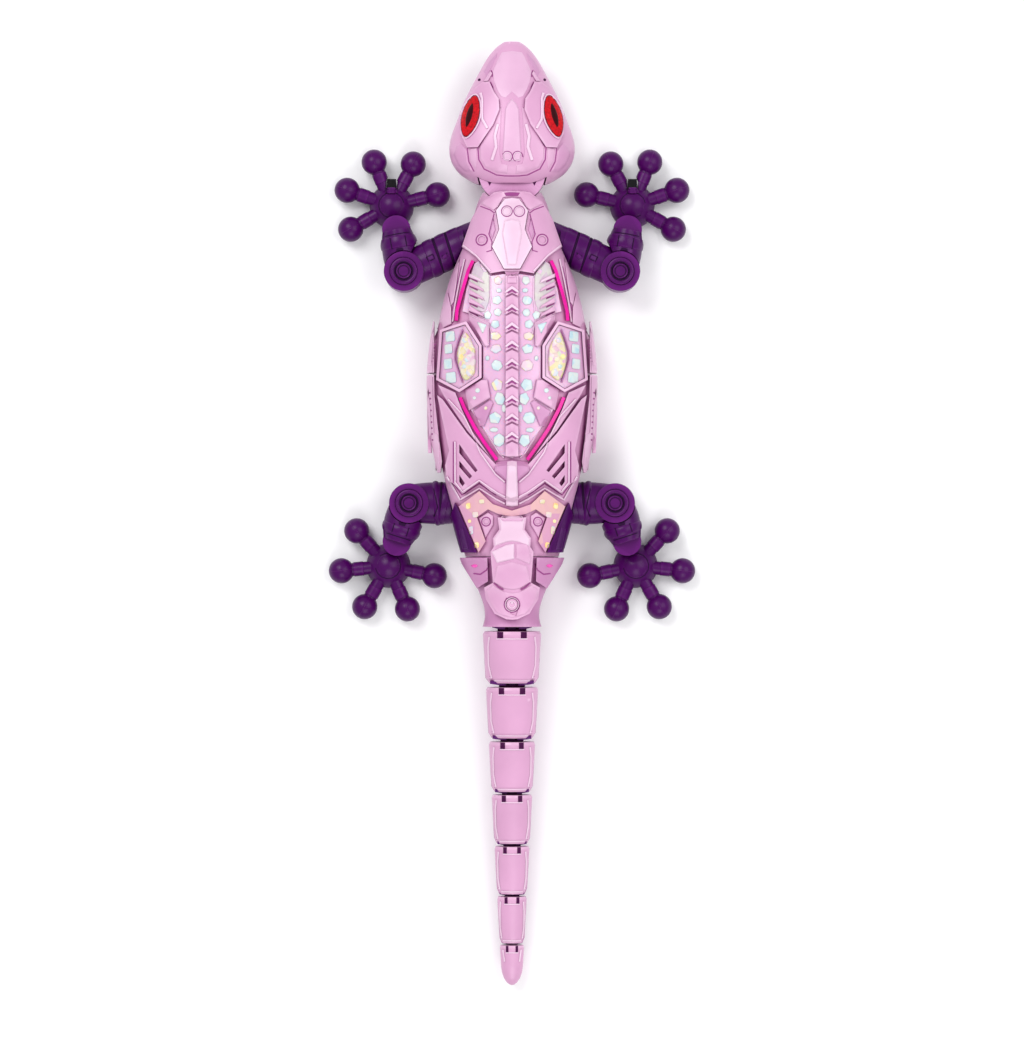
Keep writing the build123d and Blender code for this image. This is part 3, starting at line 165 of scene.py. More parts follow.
def plastic(name, base, shade_colour, light, roughness=0.36, coat=0.25, edge=0.0004, strength=0.25, sss=0.0,
            gloss_level=0.4, metallic=0.0):
    """Moulded plastic with uneven gloss: the second colour is painted shade in crevices, the third a painted
    highlight on raised edges.
    """
    mat, tree, shader = material(name)
    coords = add_node(tree, "TexCoord")
    cloud = texture(tree, coords, "Noise", Scale=38.0, Detail=4.0, Roughness=0.55)
    tone = ramp_of(tree, cloud, "Fac", (0.3, [c * 0.93 for c in base]), (0.72,
        [min(1, c * 1.05) for c in base]))
    # Painted shade: crevices found by ambient occlusion are darkened towards the second colour
    shade = add_node(tree, "AmbientOcclusion", samples=6, Distance=CREVICE)
    painted_shade_mask = ramp_of(tree, shade, "AO", (0.30, (1, 1, 1)), (0.88, (0, 0, 0)))
    # Painted highlight: sharp raised edges found by pointiness are lightened towards the third colour
    painted_edge_highlight = ramp_of(tree, add_node(tree, "NewGeometry"), "Pointiness", (0.52, (0, 0, 0)), (0.62,
        (0.55, 0.55, 0.55)))
    edged = mixed(tree, painted_edge_highlight, mixed(tree, painted_shade_mask, tone, "Color", shade_colour), "Result", light)
    wire(tree, edged, "Result", shader, "Base Color")
    gloss = add_node(tree, "MapRange", To_Min=roughness - 0.05, To_Max=roughness + 0.07)
    wire(tree, cloud, "Fac", gloss, "Value")
    wire(tree, gloss, "Result", shader, "Roughness")
    put(shader, Specular_IOR_Level=gloss_level, Coat_Weight=coat, Coat_Roughness=0.22, Metallic=metallic)
    if sss:
        put(shader, Subsurface_Weight=sss, Subsurface_Scale=0.002)
    surface_normal(tree, shader, coords, edge, 0.06, strength)
    return mat


def crystal(name, colours, glow, scale=330.0, roughness=0.2, coat=0.3):
    """Faceted iridescent window plastic, its sheen painted into the colour, with a faint painted glow of its
    own.
    """
    mat, tree, shader = material(name)
    coords = add_node(tree, "TexCoord")
    cells = texture(tree, coords, "Voronoi", Scale=scale, Randomness=1.0)
    # Painted sheen: noise shifts the colour across the cells
    sheen = texture(tree, coords, "Noise", Scale=150.0, Detail=2.0, Distortion=1.2)
    split = add_node(tree, "SeparateColor")
    wire(tree, cells, "Color", split, "Color")
    blend = add_node(tree, "Math", operation="ADD")
    for entry, (source, output, share) in enumerate(((split, "Red", 0.55), (sheen, "Fac", 0.5))):
        part = add_node(tree, "Math", operation="MULTIPLY")
        part.inputs[1].default_value = share
        wire(tree, source, output, part, 0)
        wire(tree, part, 0, blend, entry)
    low, span, last = 0.12, 0.73, len(colours) - 1
    middle = [(low + span * i / last, colours[i]) for i in range(1, last)]
    ramp = ramp_of(tree, blend, 0, (low, colours[0]), *middle, (0.85, colours[-1]))
    # Painted glow: the colour also shines faintly by itself
    lit(tree, shader, ramp, glow)
    put(shader, Roughness=roughness, Specular_IOR_Level=0.3, Coat_Weight=coat, Coat_Roughness=0.08)
    bevel = add_node(tree, "Bevel", samples=6, Radius=0.0004)
    facet = add_node(tree, "Bump", Strength=0.35, Distance=0.0006)
    wire(tree, cells, "Distance", facet, "Height")
    wire(tree, bevel, "Normal", facet, "Normal")
    wire(tree, facet, "Normal", shader, "Normal")
    return mat


def glowing(name, colour, strength):
    """Clear coloured plastic with a lamp behind it."""
    mat, tree, shader = material(name)
    coords = add_node(tree, "TexCoord")
    wave = texture(tree, coords, "Noise", Scale=120.0, Detail=2.0)
    ramp = ramp_of(tree, wave, "Fac", (0.25, [c * 0.8 for c in colour]), (0.75,
        [min(1, c * 1.15) for c in colour]))
    lit(tree, shader, ramp, strength)
    put(shader, Roughness=0.25)
    surface_normal(tree, shader, coords, 0.0003, 0.1, 0.2)
    return mat


def iris():
    """Glossy red eye with fine streaks and a faint painted glow."""
    mat, tree, shader = material("eye_red")
    coords = add_node(tree, "TexCoord")
    streak = texture(tree, coords, "Noise", Scale=900.0, Detail=3.0)
    # Painted glow: the red shines faintly by itself
    lit(tree, shader, ramp_of(tree, streak, "Fac", (0.25, (0.26, 0.0, 0.004)), (0.7, (0.62, 0.001, 0.008))),
        0.10)
    put(shader, Roughness=0.24, Specular_IOR_Level=0.2, Coat_Weight=0.18, Coat_Roughness=0.04)
    surface_normal(tree, shader, coords, 0.0003, 0.0, 0.1)
    return mat


shell = plastic("shell_pink", (0.63, 0.325, 0.525), (0.30, 0.07, 0.22), (0.82, 0.55, 0.73))
# Painted highlight: a lighter copy of the shell pink for raised beads, creases, crests and facets that catch
# the light
shell_light = plastic("shell_pink_light", (0.74, 0.50, 0.66), (0.42, 0.16, 0.34), (0.90, 0.70, 0.85),
    roughness=0.3)
# Painted highlight: a softer lighter copy of the shell pink for the snout plate and skull ridge
shell_soft = plastic("shell_pink_soft", (0.68, 0.40, 0.59), (0.34, 0.10, 0.26), (0.80, 0.56, 0.73))
# Painted shade: a darker copy of the shell pink for the cheek plates on the sides of the head
shell_cheek_shade = plastic("shell_pink_cheek_shade", (0.57, 0.265, 0.47), (0.27, 0.06, 0.20), (0.74, 0.44, 0.65))
# Painted shade: a darker copy of the shell pink for sloping facets and for parts under or between others
shell_mid = plastic("shell_pink_mid", (0.52, 0.225, 0.43), (0.25, 0.05, 0.19), (0.70, 0.40, 0.62))
# Painted shade: a much darker copy of the shell pink for the pod seam
shell_deep = plastic("shell_pink_deep", (0.36, 0.11, 0.30), (0.14, 0.02, 0.11), (0.52, 0.22, 0.44))
MATT = dict(roughness=0.6, coat=0.0, gloss_level=0.1)
# Painted shade: dark pink for drawn grooves, seams, slots, slits, recesses and small holes that are flat or
# nearly flat
groove = plastic("groove_pink", (0.30, 0.06, 0.23), (0.16, 0.02, 0.12), (0.36, 0.10, 0.28), **MATT)
# Painted shade: near black for holes, notches and gaps
hole = plastic("hole_dark", (0.05, 0.004, 0.045), (0.01, 0.001, 0.01), (0.08, 0.01, 0.07), **MATT)
purple = plastic("limb_purple", (0.058, 0.001, 0.083), (0.008, 0.0001, 0.013), (0.15, 0.012, 0.19),
    roughness=0.30, coat=0.06, edge=0.0005, gloss_level=0.14)
violet = plastic("trim_purple", (0.052, 0.002, 0.078), (0.012, 0.0004, 0.018), (0.11, 0.01, 0.15),
    roughness=0.38, coat=0.1, gloss_level=0.2)
# Painted shade: near black purple for drawn grooves, seams and notches on the limbs
groove_purple = plastic("groove_purple", (0.014, 0.0005, 0.022), (0.004, 0.0002, 0.006), (0.03, 0.002, 0.045),
    **MATT)
rubber = plastic("roller_rubber", (0.006, 0.005, 0.007), (0.002, 0.002, 0.002), (0.012, 0.012, 0.012),
    roughness=0.7, coat=0.0, strength=0.6, gloss_level=0.1)
board = plastic("board_green", (0.02, 0.14, 0.05), (0.01, 0.05, 0.02), (0.05, 0.2, 0.08), roughness=0.5)
metal = plastic("bright_metal", (0.5, 0.5, 0.52), (0.2, 0.2, 0.2), (0.7, 0.7, 0.7), roughness=0.3, metallic=1.0)
brass = plastic("pinion_brass", (0.6, 0.42, 0.14), (0.3, 0.2, 0.06), (0.8, 0.6, 0.3), roughness=0.35,
    metallic=1.0)
gear_white = plastic("gear_white", (0.78, 0.77, 0.72), (0.5, 0.5, 0.45), (0.9, 0.9, 0.88), roughness=0.4)
frame_grey = plastic("frame_grey", (0.08, 0.08, 0.09), (0.03, 0.03, 0.03), (0.15, 0.15, 0.16), roughness=0.5)
window_pink = plastic("window_pink", (0.70, 0.42, 0.62), (0.42, 0.16, 0.34), (0.85, 0.62, 0.78), roughness=0.2,
    coat=0.6, sss=0.2)
cell_white = crystal("cell_white", [(0.30, 0.52, 0.64), (0.56, 0.66, 0.68), (0.62, 0.65, 0.63),
    (0.46, 0.62, 0.68)], 0.05)
cell_warm = crystal("cell_warm", [(0.70, 0.55, 0.30), (0.72, 0.66, 0.44), (0.70, 0.52, 0.62),
    (0.46, 0.70, 0.74)], 0.06)
cell_gold = crystal("cell_gold", [(0.80, 0.46, 0.20), (0.86, 0.66, 0.28), (0.86, 0.74, 0.44)], 0.12)
pearl = crystal("pearl_facets", [(0.36, 0.62, 0.68), (0.70, 0.58, 0.28), (0.70, 0.66, 0.62), (0.62, 0.34, 0.52),
    (0.72, 0.68, 0.44)], 0.04, scale=420.0)
lobe_glass = crystal("lobe_glass", [(0.54, 0.34, 0.50), (0.58, 0.50, 0.56), (0.60, 0.58, 0.54),
    (0.50, 0.42, 0.52)], 0.0, scale=190.0, roughness=0.3, coat=0.12)
rump_glow = crystal("rump_glow", [(0.60, 0.28, 0.48), (0.64, 0.33, 0.46), (0.70, 0.42, 0.42)], 0.03, scale=70.0,
    roughness=0.25)
magenta = glowing("glow_magenta", (0.70, 0.0, 0.29), 0.14)
hot_pink = glowing("glow_pink_lamp", (0.75, 0.08, 0.42), 0.12)
eye_red = iris()
pupil_dark = plastic("pupil_dark", (0.03, 0.0, 0.002), (0.01, 0, 0), (0.06, 0.0, 0.005), roughness=0.3,
    coat=0.1, gloss_level=0.1)

# Slot of a piece by its material, when it isn't shell_pink
SLOTS = {mat.name: slot for slot, mats in {
    "crystal": (cell_white, cell_warm, cell_gold, pearl, lobe_glass), "limb_purple": (purple, groove_purple),
    "trim_purple": (violet,), "eye_red": (pupil_dark,), "glow_magenta": (hot_pink,),
}.items() for mat in mats}


def paint(obj, mat):
    obj.data.materials.clear()
    obj.data.materials.append(mat)


# The jaw, neck drum, tail base and tail links take the darker pink as painted shade; the neck crest takes the
# lighter pink as a painted highlight
LOOKS = {
    "neck_crest": shell_light, "crystal_window": window_pink, "pod_crystals": window_pink,
    "rump_window": rump_glow, "light_pipes": magenta, "hip_brackets": purple, "eye_lenses": eye_red,
    "circuit_board": board, "batteries": metal, "screws": metal, "drive_motor": metal,
    "motor_pinion": brass, "drive_gear": gear_white, "gearbox_frame": frame_grey, "jaw_shell": shell_mid,
    "neck_drum": shell_mid, "tail_base": shell_mid,
}
for name, node in nodes.items():
    if name in LOOKS:
        paint(node, LOOKS[name])
    elif name.startswith("tail_link"):
        paint(node, shell_mid)
    elif name.endswith("roller"):
        paint(node, rubber)
    elif name.startswith(("front_", "rear_")):
        paint(node, purple)
    else:
        paint(node, shell)


# ------------------------------------------------------------------ draped pieces
def surface_of(*names):
    """A ray target made of CAD nodes or pieces."""
    verts, faces = [], []
    for name in names:
        mesh = (nodes[name] if name in nodes else bpy.data.objects[name]).data
        start = len(verts)
        verts += [v.co.copy() for v in mesh.vertices]
        faces += [[start + i for i in p.vertices] for p in mesh.polygons]
    return BVHTree.FromPolygons(verts, faces)


def top_of(tree, x, y, fallback=None):
    hit = tree.ray_cast(Vector((x, y, ABOVE_ALL)), Vector((0, 0, -1)))
    if hit[0] is None:
        return fallback
    return hit[0].z


def resample(points, step):
    out = []
    for i, (x0, y0) in enumerate(points):
        x1, y1 = points[(i + 1) % len(points)]
        n = max(1, round(math.hypot(x1 - x0, y1 - y0) / step))
        out += [(x0 + (x1 - x0) * k / n, y0 + (y1 - y0) * k / n) for k in range(n)]
    return out


def area(points):
    return sum(points[i][0] * points[(i + 1) % len(points)][1] - points[(i + 1) %
        len(points)][0] * points[i][1] for i in range(len(points))) / 2


def inset(points, amount):
    """The outline moved inwards, corner by corner; points run anticlockwise."""
    out = []
    n = len(points)
    for i, (x, y) in enumerate(points):
        px, py = points[i - 1]
        qx, qy = points[(i + 1) % n]
        a = Vector((x - px, y - py)).normalized()
        b = Vector((qx - x, qy - y)).normalized()
        m = Vector((-(a.y + b.y), a.x + b.x))
        if m.length < 1e-6:
            m = Vector((-a.y, a.x))
        m.normalize()
        reach = amount / max(0.45, m.dot(Vector((-a.y, a.x))))
        out.append((x + m.x * reach, y + m.y * reach))
    return out


def rounded(points, radius, steps=3):
    """The outline with its corners rounded off."""
    out = []
    n = len(points)
    for i, p in enumerate(points):
        p = Vector(p)
        a, b = Vector(points[i - 1]), Vector(points[(i + 1) % n])
        ra = min(radius, (a - p).length * 0.45)
        rb = min(radius, (b - p).length * 0.45)
        start, end = p + (a - p).normalized() * ra, p + (b - p).normalized() * rb
        for k in range(steps + 1):
            t = k / steps
            q = start * (1 - t) ** 2 + p * 2 * t * (1 - t) + end * t * t
            out.append((q.x, q.y))
    return out


def new_piece(name, verts, faces, mat, body, slot=None, smooth=True):
    mesh = bpy.data.meshes.new(name)
    mesh.from_pydata([tuple(v) for v in verts], [], faces)
    mesh.validate()
    bm = bmesh.new()
    bm.from_mesh(mesh)
    bmesh.ops.remove_doubles(bm, verts=bm.verts, dist=1e-6)
    bmesh.ops.recalc_face_normals(bm, faces=bm.faces)
    bm.to_mesh(mesh)
    bm.free()
    obj = bpy.data.objects.new(name, mesh)
    bpy.context.scene.collection.objects.link(obj)
    paint(obj, mat)
    for p in mesh.polygons:
        p.use_smooth = smooth
    if smooth:
        mesh.set_sharp_from_angle(angle=SHARP_ANGLE)
    slot = slot or SLOTS.get(mat.name, "shell_pink")
    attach(obj, body)
    return obj


def plate(name, points, target, lift, mat, body="chassis", slot=None, bevel=0.00035, step=0.0022,
          sink=0.0006, crown=0.0, corner=0.0, floor=None):
    """A moulded plate with a chamfered rim, laid on the CAD surface below it."""
    if area(points) < 0:
        points = points[::-1]
    if corner:
        points = rounded(points, corner)
    outer = resample(points, step)
    inner = inset(outer, bevel)
    lows, highs = [min(p[i] for p in outer) for i in (0, 1)], [max(p[i] for p in outer) for i in (0, 1)]
    grid = []
    y = lows[1]
    row = 0
    while y < highs[1]:
        x = lows[0] + (step / 2 if row % 2 else 0)
        while x < highs[0]:
            grid.append((x, y))
            x += step
        y += step * 0.87
        row += 1

    def clear(q):
        inside = False
        for i in range(len(inner)):
            (x0, y0), (x1, y1) = inner[i - 1], inner[i]
            if (y0 > q[1]) != (y1 > q[1]) and q[0] < (x1 - x0) * (q[1] - y0) / (y1 - y0) + x0:
                inside = not inside
            if (x0 - q[0]) ** 2 + (y0 - q[1]) ** 2 < (step * 0.55) ** 2:
                return False
        return inside

    grid = [q for q in grid if clear(q)]
    flat = [Vector(p) for p in inner + grid]
    edges = [(i, (i + 1) % len(inner)) for i in range(len(inner))]
    result = geometry.delaunay_2d_cdt(flat, edges, [], 1, 1e-7)
    cx = sum(p[0] for p in outer) / len(outer)
    cy = sum(p[1] for p in outer) / len(outer)
    reach = max(math.hypot(p[0] - cx, p[1] - cy) for p in outer)
    known = [z for z in (top_of(target, p[0], p[1]) for p in outer) if z is not None]
    ground = floor if floor is not None else (min(known) if known else UNKNOWN_Z)

    def base(x, y):
        z = top_of(target, x, y)
        return ground if z is None else max(z, ground)

    verts, faces = [], []
    for q in result[0]:
        swell = crown * max(0.0, 1 - (math.hypot(q.x - cx, q.y - cy) / reach) ** 2)
        verts.append((q.x, q.y, base(q.x, q.y) + lift + swell))
    faces += [list(f) for f in result[2]]
    n = len(outer)
    top = len(verts)
    for p in inner:
        verts.append((p[0], p[1], base(*p) + lift))
    for p in outer:
        verts.append((p[0], p[1], base(*p) + lift - bevel))
    for p in outer:
        verts.append((p[0], p[1], base(*p) - sink))
    for i in range(n):
        j = (i + 1) % n
        faces.append([top + i, top + j, top + n + j, top + n + i])
        faces.append([top + n + i, top + n + j, top + 2 * n + j, top + 2 * n + i])
    faces.append([top + 2 * n + i for i in range(n)])
    return new_piece(name, verts, faces, mat, body, slot)


def pair(name, points, target, lift, mat, **more):
    """The same plate on the right and the left."""
    plate(f"{name}_right", points, target, lift, mat, **more)
    plate(f"{name}_left", flip(points), target, lift, mat, **more)


def ring_outline(x, y, radius, count=20):
    return [(x + radius * math.cos(2 * math.pi * i / count),
        y + radius * math.sin(2 * math.pi * i / count)) for i in range(count)]


def trail(name, points, width, height, target, mat, body="chassis", slot=None, loop=False, step=0.0011,
          sink=0.0003):
    """A raised bead, or a drawn groove where the height is nearly nothing, that follows the surface."""
    if loop:
        path = resample(points, step)
    else:
        path = resample(points + [points[-1]], step)
        path = path[:path.index(points[-1]) + 1] if points[-1] in path else path
    profile = [(-1, -sink), (-0.8, height * 0.7), (-0.25, height), (0.25, height), (0.8, height * 0.7),
        (1, -sink)]
    heights = [top_of(target, x, y) for x, y in path]
    known = next((z for z in heights if z is not None), UNKNOWN_Z)
    for i, z in enumerate(heights):
        known = known if z is None else z
        heights[i] = known
    verts, faces = [], []
    n, m = len(path), len(profile)
    for i, (x, y) in enumerate(path):
        before = path[i - 1] if i or loop else path[0]
        after = path[(i + 1) % n] if i < n - 1 or loop else path[-1]
        way = Vector((after[0] - before[0], after[1] - before[1])).normalized()
        middle = heights[i]
        for across, up in profile:
            px, py = x - way.y * across * width / 2, y + way.x * across * width / 2
            z = top_of(target, px, py, middle)
            verts.append((px, py, min(max(z, middle - width), middle + width) + up))
    for i in range(n if loop else n - 1):
        j = (i + 1) % n
        for k in range(m):
            q = (k + 1) % m
            faces.append([i * m + k, i * m + q, j * m + q, j * m + k])
    if not loop:
        faces += [list(range(m)), [(n - 1) * m + k for k in reversed(range(m))]]
    return new_piece(name, verts, faces, mat, body, slot)


def trails(name, points, width, height, target, mat, **more):
    """The same trail on the right and the left."""
    trail(f"{name}_right", points, width, height, target, mat, **more)
    trail(f"{name}_left", flip(points), width, height, target, mat, **more)


def sleeve(name, target, start, way, stations, mat, body, level, lean=0.0, reach=0.013, count=40):
    """A sleeve shrunk onto a limb: each station is a distance along it and a thickness there."""
    side = Vector((-way.y, way.x, 0))
    verts, faces = [], []
    for distance, thickness in stations:
        for k in range(count):
            a = 2 * math.pi * k / count
            out = side * math.cos(a) + Vector((0, 0, math.sin(a)))
            reached = distance + lean * math.cos(a)
            centre = Vector((start[0], start[1], level)) + Vector((way.x, way.y, 0)) * reached
            hit = target.ray_cast(centre + out * reach, -out)[0]
            place = hit if hit is not None else centre + out * reach * 0.5
            verts.append(place + out * thickness)
    n = len(stations)
    for i in range(n - 1):
        for k in range(count):
            q = (k + 1) % count
            faces.append([i * count + k, i * count + q, (i + 1) * count + q, (i + 1) * count + k])
    faces += [list(range(count)), [(n - 1) * count + k for k in reversed(range(count))]]
    return new_piece(name, verts, faces, mat, body)


def cuff(first, last, thickness, bulge=0.0, edge=0.0004, steps=8):
    """Stations of a sleeve with chamfered ends and a swell between them."""
    inner = []
    for i in range(steps + 1):
        t = i / steps
        inner.append((first + edge + (last - first - 2 * edge) * t, thickness + bulge * math.sin(math.pi * t)))
    return [(first, -0.0002), (first, thickness - edge)] + inner + [(last, thickness - edge), (last, -0.0002)]


shell_top = surface_of("back_shell", "tail_base", "belly_shell")
window_top = surface_of("crystal_window", "back_shell")
spine_top = surface_of("spine_ridge", "crystal_window")
pod_top = surface_of("pod_crystals")
shoulder_top = surface_of("shoulder_plate", "back_shell")
crest_top = surface_of("neck_crest")
hip_top = surface_of("hip_plate", "back_shell")
rump_top = surface_of("rump_window", "back_shell")
cover_top = surface_of("rump_cover")
head_top = surface_of("head_shell")

# ------------------------------------------------------------------ window
pair("window_lobe", on_back(0.465, 0.168, 0.372, 0.162, 0.285, 0.191, 0.28, 0.253, 0.335, 0.282, 0.468, 0.275,
    0.545, 0.257, 0.53, 0.209), window_top, 0.0004, lobe_glass, corner=0.002)

# Crystal cells on the right side: place as shares of the back, then width and length as factors
CELL_WIDE, CELL_LONG, SPREAD = 0.00130, 0.00118, (0.90, 1.10)
CELLS = [
    (0.175, 0.207, 1.7, 2.0), (0.165, 0.230, 1.3, 1.1), (0.19, 0.253, 1.9, 2.0), (0.18, 0.281, 1.6, 1.7),
    (0.21, 0.308, 1.7, 1.9), (0.205, 0.335, 2.2, 1.9), (0.20, 0.364, 2.2, 2.1), (0.19, 0.402, 2.3, 2.4),
    (0.185, 0.446, 2.3, 2.8), (0.15, 0.478, 2.1, 2.8), (0.215, 0.521, 2.4, 2.6), (0.225, 0.549, 1.7, 1.0),
    (0.16, 0.573, 2.2, 2.7), (0.305, 0.287, 1.5, 1.9), (0.305, 0.385, 0.9, 1.2), (0.10, 0.500, 0.9, 1.8),
]
for i, (u, v, w, h) in enumerate(CELLS):
    x, y = back(u, v)
    for side in (1, -1):
        count = random.choice((5, 5, 6))
        turn = random.uniform(0, 6.28)
        outline = []
        for k in range(count):
            a = turn + 2 * math.pi * k / count
            r = random.uniform(*SPREAD)
            outline.append((side * x + w * r * CELL_WIDE * math.cos(a), y + h * r * CELL_LONG * math.sin(a)))
        mat = cell_warm if random.random() < 0.15 else cell_white
        plate(f"window_cell_{i}_{'r' if side > 0 else 'l'}", outline, window_top, 0.0005, mat, step=0.0012,
            corner=0.0006, bevel=0.00025, crown=0.0002)

# Slanted ribs over the front lobes, the first lightened as a painted highlight, each with a slot behind it
# darkened as painted shade
for i in range(5):
    v = 0.193 + 0.0195 * i
    pair(f"window_rib_{i}", on_back(0.56 - 0.01 * i, v - 0.006, 0.37, v + 0.013, 0.345, v + 0.021,
        0.545, v + 0.005), window_top, 0.0017, shell if i else shell_light, step=0.0015, bevel=0.0004)
    pair(f"window_slot_{i}", on_back(0.54, v + 0.004, 0.43, v + 0.0145, 0.43, v + 0.0185, 0.53, v + 0.0095),
        window_top, 0.0007, groove, step=0.0012, bevel=0.0002)

# Spine: raised chevrons with a shadow behind each
for i in range(9):
    v = 0.232 + 0.0416 * i
    plate(f"spine_chevron_{i}", closed(on_back(0, v - 0.012, 0.085, v - 0.0005, 0.085, v + 0.006,
        0, v - 0.004)), spine_top, 0.0007, shell_light, step=0.0012, bevel=0.0002)
    plate(f"spine_gap_{i}", closed(on_back(0, v - 0.004, 0.06, v + 0.003, 0.045, v + 0.0060, 0, v + 0.0010)),
        spine_top, 0.00015, groove, step=0.001, bevel=0.00005)
plate("spine_root", closed(on_back(0, 0.182, 0.10, 0.184, 0.06, 0.200, 0.06, 0.214, 0, 0.214)), spine_top,
    0.0006, shell, step=0.0014, bevel=0.0003)
trails("window_seam", on_back(0.275, 0.195, 0.27, 0.250, 0.30, 0.300, 0.255, 0.330), 0.0007, 0.0005, window_top,
    shell_light)

# Blades, diamonds and lower plates beside the window
pair("window_blade", on_back(0.545, 0.279, 0.286, 0.304, 0.286, 0.356, 0.318, 0.360, 0.351, 0.356,
    0.537, 0.297), window_top, 0.0020, shell, bevel=0.0005)
pair("blade_crystal", on_back(0.44, 0.302, 0.315, 0.309, 0.365, 0.330), window_top, 0.0024, cell_white,
    corner=0.0006, step=0.0012)
trails("blade_edge", on_back(0.535, 0.285, 0.30, 0.308, 0.297, 0.352), 0.0006, 0.0024, window_top, shell_light)
pair("window_diamond", on_back(0.585, 0.456, 0.383, 0.433, 0.310, 0.434, 0.270, 0.475, 0.537, 0.504,
    0.576, 0.470), window_top, 0.0020, shell, bevel=0.0005)
pair("diamond_crystal_a", ring_outline(*back(0.43, 0.459), 0.0012, 7), window_top, 0.0023, cell_white,
    step=0.0008, bevel=0.0002)
pair("diamond_crystal_b", ring_outline(*back(0.47, 0.476), 0.0009, 6), window_top, 0.0023, cell_white,
    step=0.0008, bevel=0.0002)
pair("window_lower_plate", on_back(0.488, 0.506, 0.279, 0.481, 0.233, 0.487, 0.35, 0.540, 0.408, 0.540),
    window_top, 0.0012, shell_mid, bevel=0.0004)
pair("lower_plate_crystal", ring_outline(*back(0.33, 0.499), 0.0009, 6), window_top, 0.0015, cell_warm,
    step=0.0008, bevel=0.0002)
trails("window_rim_rear", on_back(0.36, 0.545, 0.16, 0.603, 0.10, 0.612), 0.0009, 0.0009, window_top,
    shell_light)

# Pods: outer ring of cells, curved seam and pearly facets inside it
POD_CELLS = [
    (0.775, 0.334, 1.9, 2.2), (0.797, 0.3625, 1.6, 2.0), (0.803, 0.397, 1.7, 2.2), (0.765, 0.4285, 2.1, 2.3),
]
for i, (u, v, w, h) in enumerate(POD_CELLS):
    x, y = back(u, v)
    outline = [(x - w * 0.0012, y - h * 0.00102), (x - w * 0.00102, y + h * 0.0012),
               (x + w * 0.0012, y + h * 0.00096), (x + w * 0.00108, y - h * 0.0012)]
    pair(f"pod_cell_{i}", outline, pod_top, 0.0006, cell_white, step=0.0012, corner=0.0008, bevel=0.00025)
almond = on_back(0.60, 0.322, 0.53, 0.336, 0.462, 0.362, 0.452, 0.392, 0.466, 0.422, 0.57, 0.438, 0.625, 0.430,
    0.675, 0.402, 0.69, 0.375, 0.65, 0.345)
pair("pod_almond", almond, pod_top, 0.0008, pearl, corner=0.0015, step=0.0014, bevel=0.0005, crown=0.0011)
almond_top = surface_of("pod_almond_right", "pod_almond_left")
trails("pod_seam", on_back(0.618, 0.319, 0.665, 0.340, 0.712, 0.368, 0.715, 0.388, 0.675, 0.412, 0.62, 0.440),
    0.0008, 0.0012, pod_top, shell_deep)
for i, (u, v, r, mat) in enumerate(((0.585, 0.344, 0.0015, cell_warm), (0.535, 0.366, 0.0020, pearl),
                                    (0.56, 0.387, 0.0016, cell_warm), (0.64, 0.381, 0.0013, cell_gold),
                                    (0.60, 0.404, 0.0012, cell_white), (0.53, 0.418, 0.0019, cell_warm))):
    pair(f"almond_facet_{i}", ring_outline(*back(u, v), r, 5 + i % 2), almond_top, 0.0003, mat, step=0.0009,
        bevel=0.00025)

# Flanks between the shoulder plate and the pods
pair("flank_front", on_back(0.66, 0.150, 0.735, 0.185, 0.80, 0.225, 0.77, 0.262, 0.735, 0.255, 0.70, 0.215),
    shell_top, 0.0009, shell)
pair("flank_rear", on_back(0.765, 0.268, 0.81, 0.232, 0.87, 0.268, 0.91, 0.298, 0.86, 0.313, 0.76, 0.305),
    shell_top, 0.0013, shell)
trails("flank_edge", on_back(0.60, 0.155, 0.66, 0.205, 0.715, 0.262, 0.745, 0.300), 0.0009, 0.0012, shell_top,
    shell_light)
trails("flank_groove", on_back(0.635, 0.172, 0.70, 0.225, 0.755, 0.275), 0.0007, 0.0001, shell_top, groove)
trails("flank_groove_low", on_back(0.76, 0.250, 0.80, 0.285, 0.85, 0.305), 0.0006, 0.0001, shell_top, groove)

# ------------------------------------------------------------------ shoulder plate and crest
def boss(name, x, y, radius, width, height, target, mat, body="chassis"):
    """A round moulded boss: a raised ring inside a drawn groove."""
    trail(f"{name}_groove", ring_outline(x, y, radius + width, 26), width * 0.9, 0.00006, target, groove,
        body=body, loop=True, step=0.0005)
    trail(f"{name}_ring", ring_outline(x, y, radius, 26), width, height, target, mat, body=body, loop=True,
        step=0.0005)


for side, u in (("right", 0.38), ("left", -0.38)):
    boss(f"shoulder_boss_{side}", *back(u, 0.113), 0.0020, 0.0007, 0.0005, shoulder_top, shell)
boss("crest_boss_right", 0.0034, back(0, 0.048)[1], 0.0021, 0.0005, 0.0003, crest_top, shell_light)
boss("crest_boss_left", -0.0024, back(0, 0.048)[1], 0.0021, 0.0005, 0.0003, crest_top, shell_light)
plate("crest_facet", closed(on_back(0, 0.066, 0.095, 0.070, 0.125, 0.100, 0.055, 0.172, 0, 0.173)), crest_top,
    0.0007, shell_light, bevel=0.0006)
plate("shoulder_arch", closed(on_back(0, -0.003, 0.118, 0.0, 0.235, 0.008, 0.332, 0.017, 0.39, 0.028,
    0.27, 0.040, 0.225, 0.045, 0.17, 0.038, 0.11, 0.016, 0, 0.014)), shoulder_top, 0.0006, shell, bevel=0.0004)
plate("arch_recess", closed(on_back(0, 0.003, 0.10, 0.004, 0.075, 0.012, 0, 0.012)), shoulder_top, 0.0007,
    groove, bevel=0.0001, step=0.001)
trails("shoulder_seam", on_back(0.40, 0.034, 0.27, 0.044, 0.225, 0.051, 0.185, 0.046), 0.0006, 0.00008,
    shoulder_top, groove)
trails("crest_seam", on_back(0.225, 0.053, 0.29, 0.100, 0.25, 0.118, 0.255, 0.138, 0.32, 0.141), 0.0006,
    0.00008, shoulder_top, groove)
